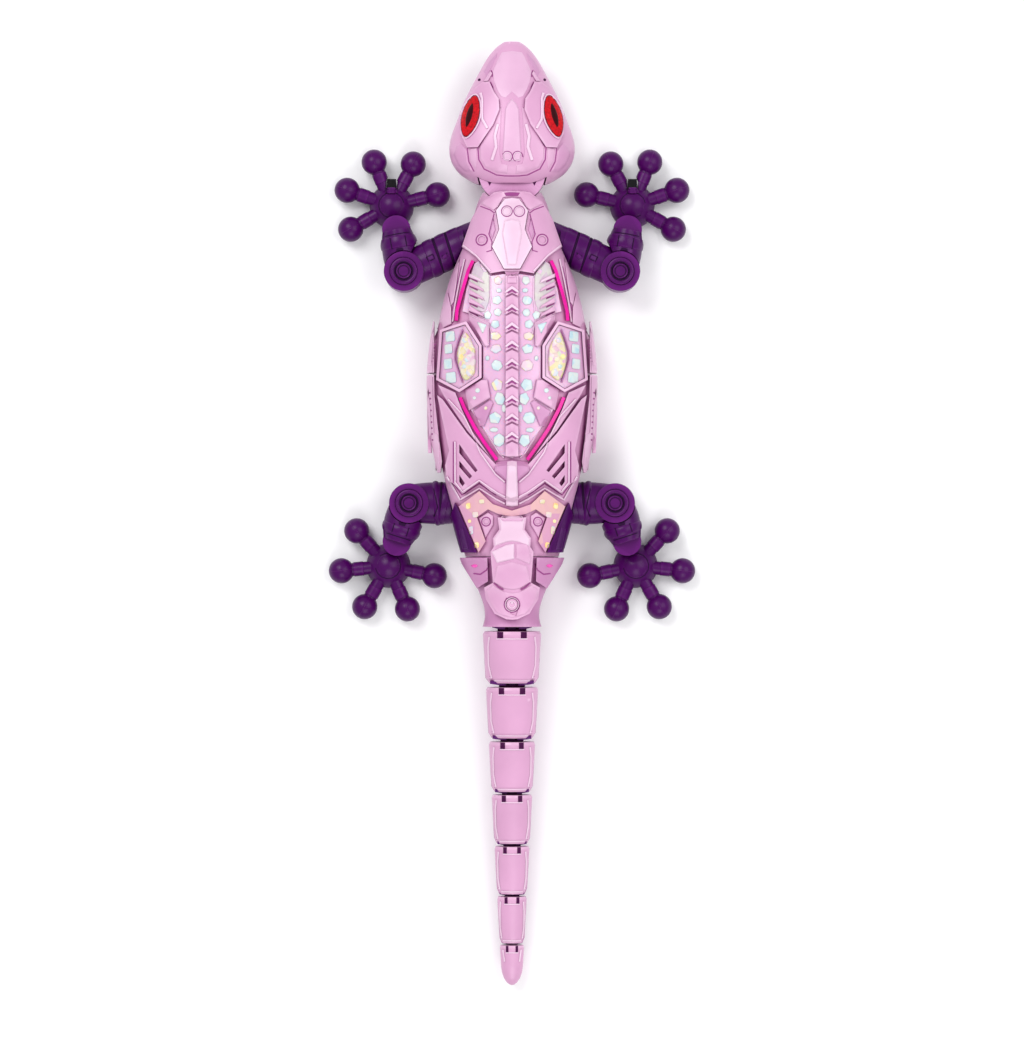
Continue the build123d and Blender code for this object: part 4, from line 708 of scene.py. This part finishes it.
pair("crest_cheek", on_back(0.235, 0.060, 0.205, 0.090, 0.245, 0.112, 0.28, 0.098), shoulder_top, 0.0005,
    shell_mid, bevel=0.0004, step=0.0014)
trails("shoulder_lip", on_back(0.615, 0.124, 0.45, 0.149, 0.27, 0.186), 0.0009, 0.0004, shoulder_top,
    shell_light)

# ------------------------------------------------------------------ hips and rump
plate("hip_keel", closed(on_back(0, 0.617, 0.20, 0.622, 0.22, 0.642, 0.075, 0.664, 0.06, 0.668, 0, 0.668)),
    hip_top, 0.0013, shell_mid, bevel=0.0008)
plate("hip_ridge", closed(on_back(0, 0.619, 0.06, 0.621, 0.074, 0.700, 0.074, 0.721, 0, 0.723)), hip_top,
    0.0022, shell_light, bevel=0.0006)
trails("hip_border", on_back(0.82, 0.655, 0.655, 0.708, 0.41, 0.682, 0.206, 0.706, 0.09, 0.717), 0.0011, 0.0009,
    hip_top, shell_light)
trails("hip_panel", on_back(0.715, 0.575, 0.715, 0.668, 0.622, 0.690, 0.41, 0.664, 0.189, 0.692, 0.085, 0.702),
    0.0009, 0.0007, hip_top, shell_light)
trails("hip_panel_shade", on_back(0.735, 0.575, 0.737, 0.670, 0.630, 0.697, 0.41, 0.671, 0.20, 0.698), 0.0007,
    0.0001, hip_top, groove)
trails("hip_arc", on_back(0.80, 0.478, 0.60, 0.518, 0.50, 0.555, 0.40, 0.600, 0.206, 0.650, 0.09, 0.668),
    0.0009, 0.0008, hip_top, shell_light)

RUMP_CELLS = [(0.55, 0.722, 1.2, 1.5), (0.46, 0.742, 1.5, 1.5), (0.535, 0.757, 0.9, 0.9),
    (0.515, 0.778, 1.1, 2.1), (0.445, 0.812, 1.2, 1.5), (0.38, 0.712, 1.4, 1.1)]
for i, (u, v, w, h) in enumerate(RUMP_CELLS):
    x, y = back(u, v)
    pair(f"rump_cell_{i}", [(x - w * 0.001, y - h * 0.0008), (x - w * 0.0008, y + h * 0.001),
        (x + w * 0.001, y + h * 0.0008), (x + w * 0.0008, y - h * 0.001)], rump_top, 0.0005, cell_gold if i % 2
        == 0 else cell_warm, step=0.001, corner=0.0008, bevel=0.0002)
pair("rump_shield", on_back(0.415, 0.750, 0.303, 0.737, 0.235, 0.745, 0.235, 0.765, 0.335, 0.795), rump_top,
    0.0012, shell, bevel=0.0004)
shield_top = surface_of("rump_shield_right", "rump_shield_left")
for side, u in (("right", 0.325), ("left", -0.325)):
    boss(f"shield_boss_{side}", *back(u, 0.758), 0.0015, 0.0006, 0.0004, shield_top, shell)

# Rump cover: broad facets, two slanted slits and the ring about the power button
# The front and left facets are lightened as a painted highlight; the slits and the wing seam are darkened as
# painted shade
plate("cover_front", closed(on_back(0, 0.742, 0.12, 0.744, 0.155, 0.752, 0.145, 0.776, 0.225, 0.797,
    0.215, 0.814, 0.073, 0.805, 0, 0.803)), cover_top, 0.0005, shell_light, bevel=0.0005)
plate("cover_left_facet", on_back(-0.255, 0.827, -0.073, 0.811, 0.03, 0.808, 0.03, 0.843, -0.188, 0.853),
    cover_top, 0.0006, shell_light, bevel=0.0005)
plate("cover_right_facet", on_back(0.045, 0.808, 0.19, 0.808, 0.22, 0.820, 0.245, 0.845, 0.22, 0.856,
    0.045, 0.843), cover_top, 0.0005, shell, bevel=0.0005)
plate("cover_middle", closed(on_back(0, 0.849, 0.19, 0.859, 0.238, 0.897, 0.10, 0.912, 0, 0.915)), cover_top,
    0.0005, shell, bevel=0.0005)
plate("cover_dome", closed(on_back(0, 0.921, 0.10, 0.918, 0.24, 0.903, 0.335, 0.918, 0.295, 0.944, 0.17, 0.970,
    0, 0.979)), cover_top, 0.0004, shell, bevel=0.0004, floor=0.030)
trails("cover_slit", on_back(0.23, 0.898, 0.17, 0.908, 0.11, 0.914), 0.0007, 0.0006, cover_top, groove)
trails("wing_seam", on_back(0.485, 0.877, 0.40, 0.879, 0.32, 0.869, 0.29, 0.855), 0.0007, 0.0002,
    surface_of("rump_cover", "tail_base"), groove)
pair("wing_lamp", on_back(0.525, 0.859, 0.467, 0.855, 0.42, 0.859, 0.473, 0.865),
    surface_of("rump_cover", "tail_base"), 0.0004, hot_pink, step=0.001, corner=0.0008)
dome_top = surface_of("cover_dome", "rump_cover", "power_button")
button_low, button_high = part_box("power_button")
button_y = (button_low[1] + button_high[1]) / 2
boss("button_surround", 0.0, button_y, 0.0031, 0.0006, 0.0004, dome_top, shell_light)
button_top = surface_of("power_button")
trail("button_mark", ring_outline(0, button_y, 0.0016, 20), 0.0006, 0.00025, button_top, shell_light,
    body="power_button", loop=True, step=0.0005)
plate("button_dot", ring_outline(0, button_y + 0.0008, 0.0005, 12), button_top, 0.0003, shell_light,
    body="power_button", step=0.0005, bevel=0.0001)

# Hip brackets: sunken panels
pair("bracket_panel", on_back(0.615, 0.772, 0.675, 0.776, 0.625, 0.822, 0.545, 0.822),
    surface_of("hip_brackets"), 0.0005, violet, bevel=0.0004)

# Skirts: rows of small round holes, raised panels and flanges
# The holes are flat discs darkened as painted shade
skirt_top = surface_of("side_skirts")
ROWS = (("a", 11, 0.935, 0.312, 0.0068, 0.0078), ("b", 9, 1.035, 0.462, -0.004, 0.0135))
for row, count, u, v, du, dv in ROWS:
    for i in range(count):
        pair(f"skirt_hole_{row}{i}", ring_outline(*back(u + du * i, v + dv * i), 0.00045, 8), skirt_top,
            0.00015, groove, step=0.0005, bevel=0.00005)
pair("skirt_panel_front", on_back(0.985, 0.31, 1.03, 0.335, 1.065, 0.40, 1.02, 0.40), skirt_top, 0.0006, shell,
    bevel=0.0004)
pair("skirt_panel_rear", on_back(1.06, 0.45, 1.075, 0.50, 1.06, 0.60, 1.01, 0.60, 1.03, 0.50), skirt_top,
    0.0006, shell, bevel=0.0004)

flange_top = surface_of("side_skirts", "pod_bezels", "hip_plate", "back_shell", "belly_shell")
pair("skirt_flange_front", on_back(0.925, 0.322, 0.955, 0.322, 1.005, 0.345, 1.01, 0.415, 0.95, 0.415),
    flange_top, 0.0004, shell, bevel=0.0003, step=0.0035, floor=0.0245)
pair("skirt_flange_rear", on_back(0.955, 0.425, 1.01, 0.425, 1.0, 0.520, 0.965, 0.640, 0.905, 0.640,
    0.915, 0.560, 0.945, 0.470), flange_top, 0.0004, shell, bevel=0.0003, step=0.0035, floor=0.0245)

# ------------------------------------------------------------------ head
HEAD = dict(body="head")
# The snout plate, skull ridge and creases are lightened as a painted highlight; the snout sides and cheek
# plates are darkened as painted shade, as are the seams and nostrils
plate("snout_plate", closed(on_head(0, 0.07, 0.165, 0.080, 0.21, 0.110, 0.325, 0.225, 0.30, 0.297, 0.245, 0.365,
    0.186, 0.408, 0.10, 0.420, 0, 0.380)), head_top, 0.0002, shell_soft, bevel=0.0006, **HEAD)
pair("snout_side", on_head(0.235, 0.085, 0.37, 0.150, 0.455, 0.222, 0.41, 0.254, 0.345, 0.270, 0.36, 0.225,
    0.245, 0.118), head_top, 0.0003, shell_mid, bevel=0.0003, **HEAD)
pair("nose_nub", on_head(0.345, 0.217, 0.315, 0.238, 0.385, 0.292, 0.45, 0.292), head_top, 0.0008, shell,
    bevel=0.0003, step=0.0014, **HEAD)
trails("nose_nub_shade", on_head(0.335, 0.212, 0.300, 0.240, 0.318, 0.262), 0.0006, 0.0001, head_top, groove,
    **HEAD)
pair("nostril", ring_outline(*head(0.522, 0.276), 0.0007, 10), head_top, 0.0002, hole, step=0.0006,
    bevel=0.0001, **HEAD)
plate("skull_ridge", closed(on_head(0, 0.415, 0.085, 0.455, 0.125, 0.496, 0.162, 0.802, 0.137, 0.856,
    0, 0.866)), head_top, 0.0006, shell_soft, bevel=0.0009, **HEAD)
pair("skull_panel", on_head(0.155, 0.475, 0.27, 0.505, 0.325, 0.600, 0.52, 0.752, 0.505, 0.840, 0.425, 0.900,
    0.24, 0.935, 0.06, 0.945, 0.06, 0.882, 0.155, 0.870, 0.19, 0.802), head_top, 0.0004, shell, bevel=0.0005,
    **HEAD)
panel_top = surface_of("skull_panel_right", "skull_panel_left", "head_shell")
trails("skull_crease", on_head(0.225, 0.600, 0.272, 0.684, 0.252, 0.759, 0.318, 0.850), 0.0016, 0.0006,
    panel_top, shell_light, **HEAD)
trails("cheek_seam_outer", on_head(0.712, 0.759, 0.683, 0.856, 0.60, 0.924), 0.0006, 0.00006, head_top, groove,
    **HEAD)
trails("cheek_seam_inner", on_head(0.541, 0.754, 0.526, 0.845, 0.443, 0.909, 0.247, 0.950), 0.0007, 0.00006,
    head_top, groove, **HEAD)
trail("nape_seam", on_head(0.25, 0.950, 0.12, 0.957, 0, 0.958, -0.12, 0.957, -0.25, 0.950), 0.0006, 0.00006,
    head_top, groove, **HEAD)
pair("cheek_plate", on_head(0.815, 0.716, 0.727, 0.764, 0.70, 0.856, 0.62, 0.922, 0.74, 0.925, 0.86, 0.875,
    0.935, 0.802, 0.905, 0.750), head_top, 0.0006, shell_cheek_shade, bevel=0.0006, **HEAD)
pair("temple_plate", on_head(0.665, 0.766, 0.565, 0.760, 0.553, 0.848, 0.57, 0.912, 0.66, 0.852), head_top,
    0.0003, shell, bevel=0.0004, **HEAD)
ridge_top = surface_of("skull_ridge")
for side, u in (("left", -0.075), ("right", 0.09)):
    boss(f"skull_boss_{side}", *head(u, 0.826), 0.0019, 0.0005, 0.0002, ridge_top, shell_light, **HEAD)
surround_top = surface_of("eye_surrounds", "head_shell")
trails("brow_crease", on_head(0.50, 0.375, 0.475, 0.42, 0.48, 0.52, 0.47, 0.565, 0.39, 0.63), 0.0014, 0.0005,
    surround_top, shell_light, **HEAD)
trails("brow_seam", on_head(0.345, 0.297, 0.305, 0.335, 0.305, 0.365, 0.262, 0.402, 0.247, 0.497, 0.317, 0.600,
    0.520, 0.752, 0.69, 0.758), 0.0007, 0.00008, head_top, groove, **HEAD)

# Eyes: lids lightened as a painted highlight and rims darkened as painted shade about the lenses, and long slit
# pupils
lens_top = surface_of("eye_lenses")
eye_x, eye_y = 0.663 * HEAD_HALF, SNOUT - 0.539 * HEAD_LENGTH


def almond_outline(length, width, turn, x, y, count=14):
    points = []
    for i in range(2 * count):
        a = math.pi * i / count
        u, w = length * math.cos(a), width * math.sin(a) * (1 - 0.25 * math.cos(a) ** 2)
        points.append((x + u * math.cos(turn) - w * math.sin(turn),
                       y + u * math.sin(turn) + w * math.cos(turn)))
    return points


EYE_TURN = math.radians(104)
# The lid leaves out the lower rear quarter, where the surround falls away
lid = almond_outline(0.0107, 0.0047, EYE_TURN, eye_x, eye_y)
trails("eye_lid", lid[21:] + lid[:15], 0.0010, 0.0008, surround_top, shell_light, step=0.0009, **HEAD)
trails("eye_rim", almond_outline(0.0101, 0.0041, EYE_TURN, eye_x, eye_y), 0.0006, 0.0003, surround_top, groove,
    loop=True, step=0.0009, **HEAD)
pair("pupil", almond_outline(0.0058, 0.0014, EYE_TURN, eye_x + 0.0004, eye_y + 0.0004), lens_top, 0.00012,
    pupil_dark, step=0.0008, bevel=0.0001, **HEAD)

# Neck drum notches, flat plates darkened as painted shade
pair("neck_notch", [(0.0094, 0.1575), (0.0116, 0.1575), (0.0106, 0.1553)],
    surface_of("neck_drum", "belly_shell", "back_shell"), 0.0002, hole, step=0.0008, bevel=0.0001)

# ------------------------------------------------------------------ limbs
places = {j["name"]: Vector(j["pos_m"]).to_2d() for j in frame["joints"] if "pos_m" in j}


def along(start, way, distance, across, sign):
    """A place on a limb: distance along it and out to its outer or rear side."""
    side = Vector((way.y, -way.x)) * sign
    q = start + way * distance + side * across
    return (q.x, q.y)


def spots(start, way, sign, *numbers):
    """Places on a limb, from pairs of a distance along it and across it, in millimetres."""
    return [along(start, way, d / 1000, a / 1000, sign) for d, a in pairs_of(numbers)]


for front in (True, False):
    for side, sign in (("right", 1), ("left", -1)):
        n = f"{'front' if front else 'rear'}_{side}"
        root, elbow, wrist = (places[f"{n}_{j}"] for j in ("swing", "elbow", "foot_swivel"))
        inward, outward = (root - elbow).normalized(), (wrist - elbow).normalized()
        upper, lower = surface_of(f"{n}_upper_limb"), surface_of(f"{n}_lower_limb")
        foot, cap = surface_of(f"{n}_foot"), surface_of(f"{n}_elbow_cap")
        up, low, toe_body = f"{n}_upper", f"{n}_lower", f"{n}_foot_body"

        # upper limb: three sleeves in front, two behind, with a ring darkened as painted shade between them
        if front:
            bands = ((12.5, 17.6, 0.3, 0.25, 0.8), (18.4, 23.8, 0.25, 0.15, 1.4), (24.6, 30.5, 0.2, 0.1, 1.2))
        else:
            bands = ((11.6, 14.5, 0.4, 0.3, 0.6), (15.2, 18.6, 0.2, 0.1, -1.6))
        facing = 1 if front else -1
        for i, (first, last, thick, bulge, lean) in enumerate(bands):
            shape = cuff(first / 1000, last / 1000, thick / 1000, bulge / 1000)
            sleeve(f"{n}_upper_sleeve_{i}", upper, elbow, inward, shape, purple, up, LIMB_Z,
                lean=-sign * lean / 1000 * facing)
        for i, (this, after) in enumerate(zip(bands, bands[1:])):
            shape = cuff(this[1] / 1000 - 0.0002, after[0] / 1000 + 0.0002, 0.00015, edge=0.0001, steps=2)
            sleeve(f"{n}_upper_gap_{i}", upper, elbow, inward, shape, groove_purple, up, LIMB_Z,
                lean=-sign * (this[4] + after[4]) / 2000 * facing)
        first_band = surface_of(f"{n}_upper_sleeve_0")
        second_band = surface_of(f"{n}_upper_sleeve_1")
        if front:
            window = spots(elbow, inward, sign, 12.6, -1.2, 15.9, -1.2, 15.9, 1.2, 12.6, 1.2)
            trail(f"{n}_sleeve_window", window, 0.0005, 0.00008, first_band, groove_purple, body=up, loop=True)
            plate(f"{n}_sleeve_window_floor", spots(elbow, inward, sign, 13.1, -0.7, 15.4, -0.7, 15.4, 0.7,
                13.1, 0.7), first_band, 0.0002, violet, body=up, bevel=0.0001, step=0.001, slot="limb_purple")
            plate(f"{n}_sleeve_nub", spots(elbow, inward, sign, 19.6, -3.6, 22.0, -2.8, 21.4, -1.4, 19.2, -2.0),
                second_band, 0.0004, purple, body=up, bevel=0.0003, step=0.001)
            trail(f"{n}_sleeve_tick", spots(elbow, inward, sign, 19.4, -1.5, 20.6, -2.2, 22.4, -1.2), 0.0006,
                0.0001, second_band, groove_purple, body=up)
        else:
            trail(f"{n}_sleeve_seam", spots(elbow, inward, sign, 11.8, -6.5, 13.6, -2.0, 12.4, 3.5, 11.6, 7.0),
                0.0006, 0.0001, first_band, groove_purple, body=up)

        # elbow: rim on the lower limb's disc, rings and button on the cap
        # the grooves between the rings are drawn dark as painted shade
        for radius, width, height, tree, body, mat in (
            (8.75, 1.1, 0.55, lower, low, purple), (7.0, 0.9, 0.0001, lower, low, groove_purple),
            (5.6, 1.5, 0.5, cap, up, purple), (4.35, 0.7, 0.05, cap, up, groove_purple),
            (3.3, 0.8, 0.45, cap, up, purple), (2.5, 0.4, 0.05, cap, up, groove_purple),
        ):
            label = f"{n}_elbow_{'groove' if mat is groove_purple else 'ring'}_{radius:.1f}"
            trail(label, ring_outline(elbow.x, elbow.y, radius / 1000, 40), width / 1000, height / 1000, tree,
                mat, body=body, loop=True)

        # lower limb: forearm sleeve with two seams, a notch at its root and a line round its end
        # the seams, the notch and the line are drawn dark as painted shade
        reach = (wrist - elbow).length
        sleeve(f"{n}_forearm_sleeve", lower, elbow, outward, cuff(0.0114, reach - 0.0032, 0.0003, 0.0003),
            purple, low, LIMB_Z)
        forearm = surface_of(f"{n}_forearm_sleeve", f"{n}_lower_limb")
        for k, across in enumerate((-3.6, 3.6)):
            line = [along(elbow, outward, d, across / 1000, sign) for d in (0.0112, 0.0135, reach - 0.0036)]
            trail(f"{n}_forearm_seam_{k}", line, 0.0006, 0.00012, forearm, groove_purple, body=low)
        plate(f"{n}_forearm_notch", spots(elbow, outward, sign, 9.9, -1.8, 11.0, -1.4, 11.0, 1.4, 9.9, 1.8),
            forearm, 0.0003, groove_purple, body=low, bevel=0.0001, step=0.001)
        line = [along(elbow, outward, reach - 0.0024, a / 1000, sign) for a in (-6, -3, 0, 3, 6)]
        trail(f"{n}_cuff_line", line, 0.0006, 0.00008, lower, groove_purple, body=low)

        # foot: hub line and dome, a guard over the front roller, and on each toe a collar and a seam
        # the hub line is drawn dark as painted shade
        hub_way = math.radians(78.0 if front else -69.0)
        hub = Vector((wrist.x + sign * 0.0125 * math.cos(hub_way), wrist.y + 0.0125 * math.sin(hub_way)))
        turns = [math.radians(25 * k + (10 if front else 190)) for k in range(13)]
        ring = [(hub.x + 0.0061 * math.cos(t), hub.y + 0.0061 * math.sin(t)) for t in turns]
        trail(f"{n}_hub_line", ring, 0.0005, 0.00006, foot, groove_purple, body=toe_body)
        plate(f"{n}_hub_dome", ring_outline(hub.x, hub.y, 0.0054, 28), foot, 0.0002, purple, body=toe_body,
            bevel=0.0003, step=0.0011, crown=0.0005)
        if front:
            corners = ((-3.2, 5.6), (3.2, 5.6), (2.6, 7.9), (1.8, 8.5), (-1.8, 8.5), (-2.6, 7.9))
            guard = [(hub.x + a / 1000, hub.y + b / 1000) for a, b in corners]
            plate(f"{n}_roller_guard", guard, surface_of(f"{n}_foot", f"{n}_roller"), 0.0011, purple,
                body=toe_body, bevel=0.0004, step=0.0010, sink=-0.0003, corner=0.0008, floor=0.0098)
        middle, spacing = (68.3, 49.0) if front else (-60.0, 54.0)
        for k in range(5):
            angle = math.radians(middle + spacing * (k - 2))
            way = Vector((sign * math.cos(angle), math.sin(angle)))
            tag = f"{n}_toe_{k}"
            sleeve(f"{tag}_collar", foot, hub, way, cuff(0.0118, 0.0166, 0.00025, 0.0, edge=0.0002, steps=3),
                purple, toe_body, 0.0062, reach=0.0052, count=24)
            seam = [(hub.x + way.x * d, hub.y + way.y * d) for d in (0.0172, 0.0200, 0.0225, 0.0255, 0.0276)]
            trail(f"{tag}_seam", seam, 0.0005, 0.00014, foot, purple, body=toe_body)

# ------------------------------------------------------------------ tail
# Edge beads as shares of a cover's half width and length
TAIL_EDGE = ((0.78, 0.10), (0.82, 0.30), (0.80, 0.66), (0.70, 0.90))
TIP_EDGE = ((0.76, 0.10), (0.62, 0.40))
FIRST_HALF = 0.0138
for i in range(1, 8):
    cover = f"tail_cover_{i}" if i < 7 else "tail_tip"
    body = f"tail_{i}" if i < 7 else "tail_end"
    link = f"tail_link_{i}" if i < 7 else "tail_tip"
    tree = surface_of(cover, link)
    lowest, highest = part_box(cover)
    front_y, rear_y, half = highest[1], lowest[1], highest[0]
    scale = half / FIRST_HALF
    for side, sign in (("right", 1), ("left", -1)):
        # Each notch is a flat plate darkened as painted shade; the edge beads and lips are lightened as a
        # painted highlight and the ticks darkened as painted shade
        notch = [(sign * a * scale / 1000, front_y - b / 1000)
                 for a, b in ((4.2, 0.1), (7.0, 0.1), (7.0, 3.2), (4.2, 3.2))]
        plate(f"tail_notch_{i}_{side}", notch, tree, 0.0003, hole, body=body, step=0.0007, bevel=0.0001,
            floor=highest[2] - 0.004)
        shape = TAIL_EDGE if i < 7 else TIP_EDGE
        trail(f"tail_edge_{i}_{side}", [(sign * half * a, front_y + (rear_y - front_y) * t) for a, t in shape],
            0.0008, 0.0003, tree, shell_light, body=body)
        if i < 7:
            tick = [(sign * half * 0.76, front_y + (rear_y - front_y) * t) for t in (0.86, 0.92)]
            trail(f"tail_tick_{i}_{side}", tick, 0.0005, 0.0001, tree, groove, body=body)
    trail(f"tail_lip_{i}", [(a * scale / 1000, front_y - 0.0034) for a in (-7.4, 0, 7.4)], 0.0007, 0.0003, tree,
        shell_light, body=body)
    if i < 7:
        trail(f"tail_rear_lip_{i}", [(a * half, rear_y + 0.0012) for a in (-0.62, 0, 0.62)], 0.0008, 0.0003,
            tree, shell_light, body=body)


def prism(name, outline, low, high, mat, body):
    """A straight-sided piece between two heights."""
    n = len(outline)
    verts = [(x, y, low) for x, y in outline] + [(x, y, high) for x, y in outline]
    faces = [list(range(n))[::-1], list(range(n, 2 * n))]
    faces += [[i, (i + 1) % n, n + (i + 1) % n, n + i] for i in range(n)]
    return new_piece(name, verts, faces, mat, body, "trim_purple", smooth=False)


# Painted shade in the gaps between the tail pieces: dark corner blocks, and a black plate over each lug that
# reaches under the next cover and is narrow enough to clear its swing; a violet riser stands in the middle of
# each gap
TRUNK_REAR = -0.0529
for i in range(1, 8):
    before = "tail_base" if i == 1 else f"tail_link_{i - 1}"
    follower = f"tail_cover_{i}" if i < 7 else "tail_tip"
    start_y = TRUNK_REAR if i == 1 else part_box(f"tail_cover_{i - 1}")[0][1]
    end_y, half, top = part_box(follower)[1][1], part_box(follower)[1][0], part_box(follower)[1][2] - 0.0028
    gap = start_y - end_y
    body = "chassis" if i == 1 else f"tail_{i - 1}"
    for side, sign in (("right", 1), ("left", -1)):
        outer = half * (0.68 if i == 1 else 0.84)
        outline = [(sign * half * 0.24, start_y + 0.0012), (sign * outer, start_y + 0.0012),
                   (sign * outer, start_y - gap * 0.12), (sign * half * 0.46, start_y - gap * 0.45),
                   (sign * half * 0.24, start_y - gap * 0.5)]
        prism(f"gap_shade_block_{i}_{side}", outline if sign > 0 else outline[::-1], top - half * 0.9, top, violet,
            body)
    lug_top = top_of(surface_of(before), 0.0, (start_y + end_y) / 2)
    inner_y = end_y - half * 0.2 if i < 7 else end_y + gap * 0.4
    wide = half * 0.5
    rise, thick = max(half * 0.05, 0.0004), half * 0.07
    prism(f"gap_shade_plate_{i}", [(-wide, inner_y), (wide, inner_y), (wide, start_y + 0.0008),
        (-wide, start_y + 0.0008)], lug_top + rise, lug_top + rise + thick, hole, body)
    prism(f"hinge_riser_{i}", [(-half * 0.13, end_y + gap * 0.42), (half * 0.13, end_y + gap * 0.42),
        (half * 0.13, start_y), (-half * 0.13, start_y)], lug_top - 0.0004, lug_top + rise + thick * 1.4,
        violet, body)

# ------------------------------------------------------------------ camera, floor and light
def floor_and_light():
    """A pale floor, a white world and three soft lamps."""
    mesh = bpy.data.meshes.new("floor")
    half = 4.0
    mesh.from_pydata([(-half, -half, 0), (half, -half, 0), (half, half, 0), (-half, half, 0)], [],
        [(0, 1, 2, 3)])
    floor = bpy.data.objects.new("floor", mesh)
    bpy.context.scene.collection.objects.link(floor)
    mat, tree, shader = material("floor_pale")
    put(shader, Base_Color=(0.93, 0.93, 0.94, 1), Roughness=0.9)
    paint(floor, mat)
    world = bpy.data.worlds.new("studio")
    bpy.context.scene.world = world
    world.use_nodes = True
    put(world.node_tree.nodes["Background"], Color=(1, 1, 1, 1), Strength=0.55)
    for name, place, power, size in (
        ("key", (-0.7, 0.9, 1.5), 17, 0.9),
        ("fill", (0.9, 0.3, 1.3), 9, 1.1),
        ("rim", (0.1, -1.1, 1.2), 8, 0.9),
    ):
        light = bpy.data.lights.new(name, "AREA")
        light.energy = power
        light.size = size
        lamp = bpy.data.objects.new(name, light)
        bpy.context.scene.collection.objects.link(lamp)
        lamp.location = place
        lamp.rotation_euler = (Vector((0, 0, 0.02)) - Vector(place)).to_track_quat("-Z", "Y").to_euler()


def camera():
    """Straight above, framed like the photo."""
    data = bpy.data.cameras.new("camera")
    cam = bpy.data.objects.new("camera", data)
    bpy.context.scene.collection.objects.link(cam)
    distance, middle_y, back_z, span, sensor = 2.2, -0.00475, 0.018, 0.49875, 24
    cam.location = (0, middle_y, distance)
    cam.rotation_euler = (0, 0, 0)
    data.sensor_fit = "VERTICAL"
    data.sensor_height = sensor
    data.lens = sensor * (distance - back_z) / span
    bpy.context.scene.camera = cam


floor_and_light()
camera()
bpy.context.scene.view_settings.view_transform = "Standard"
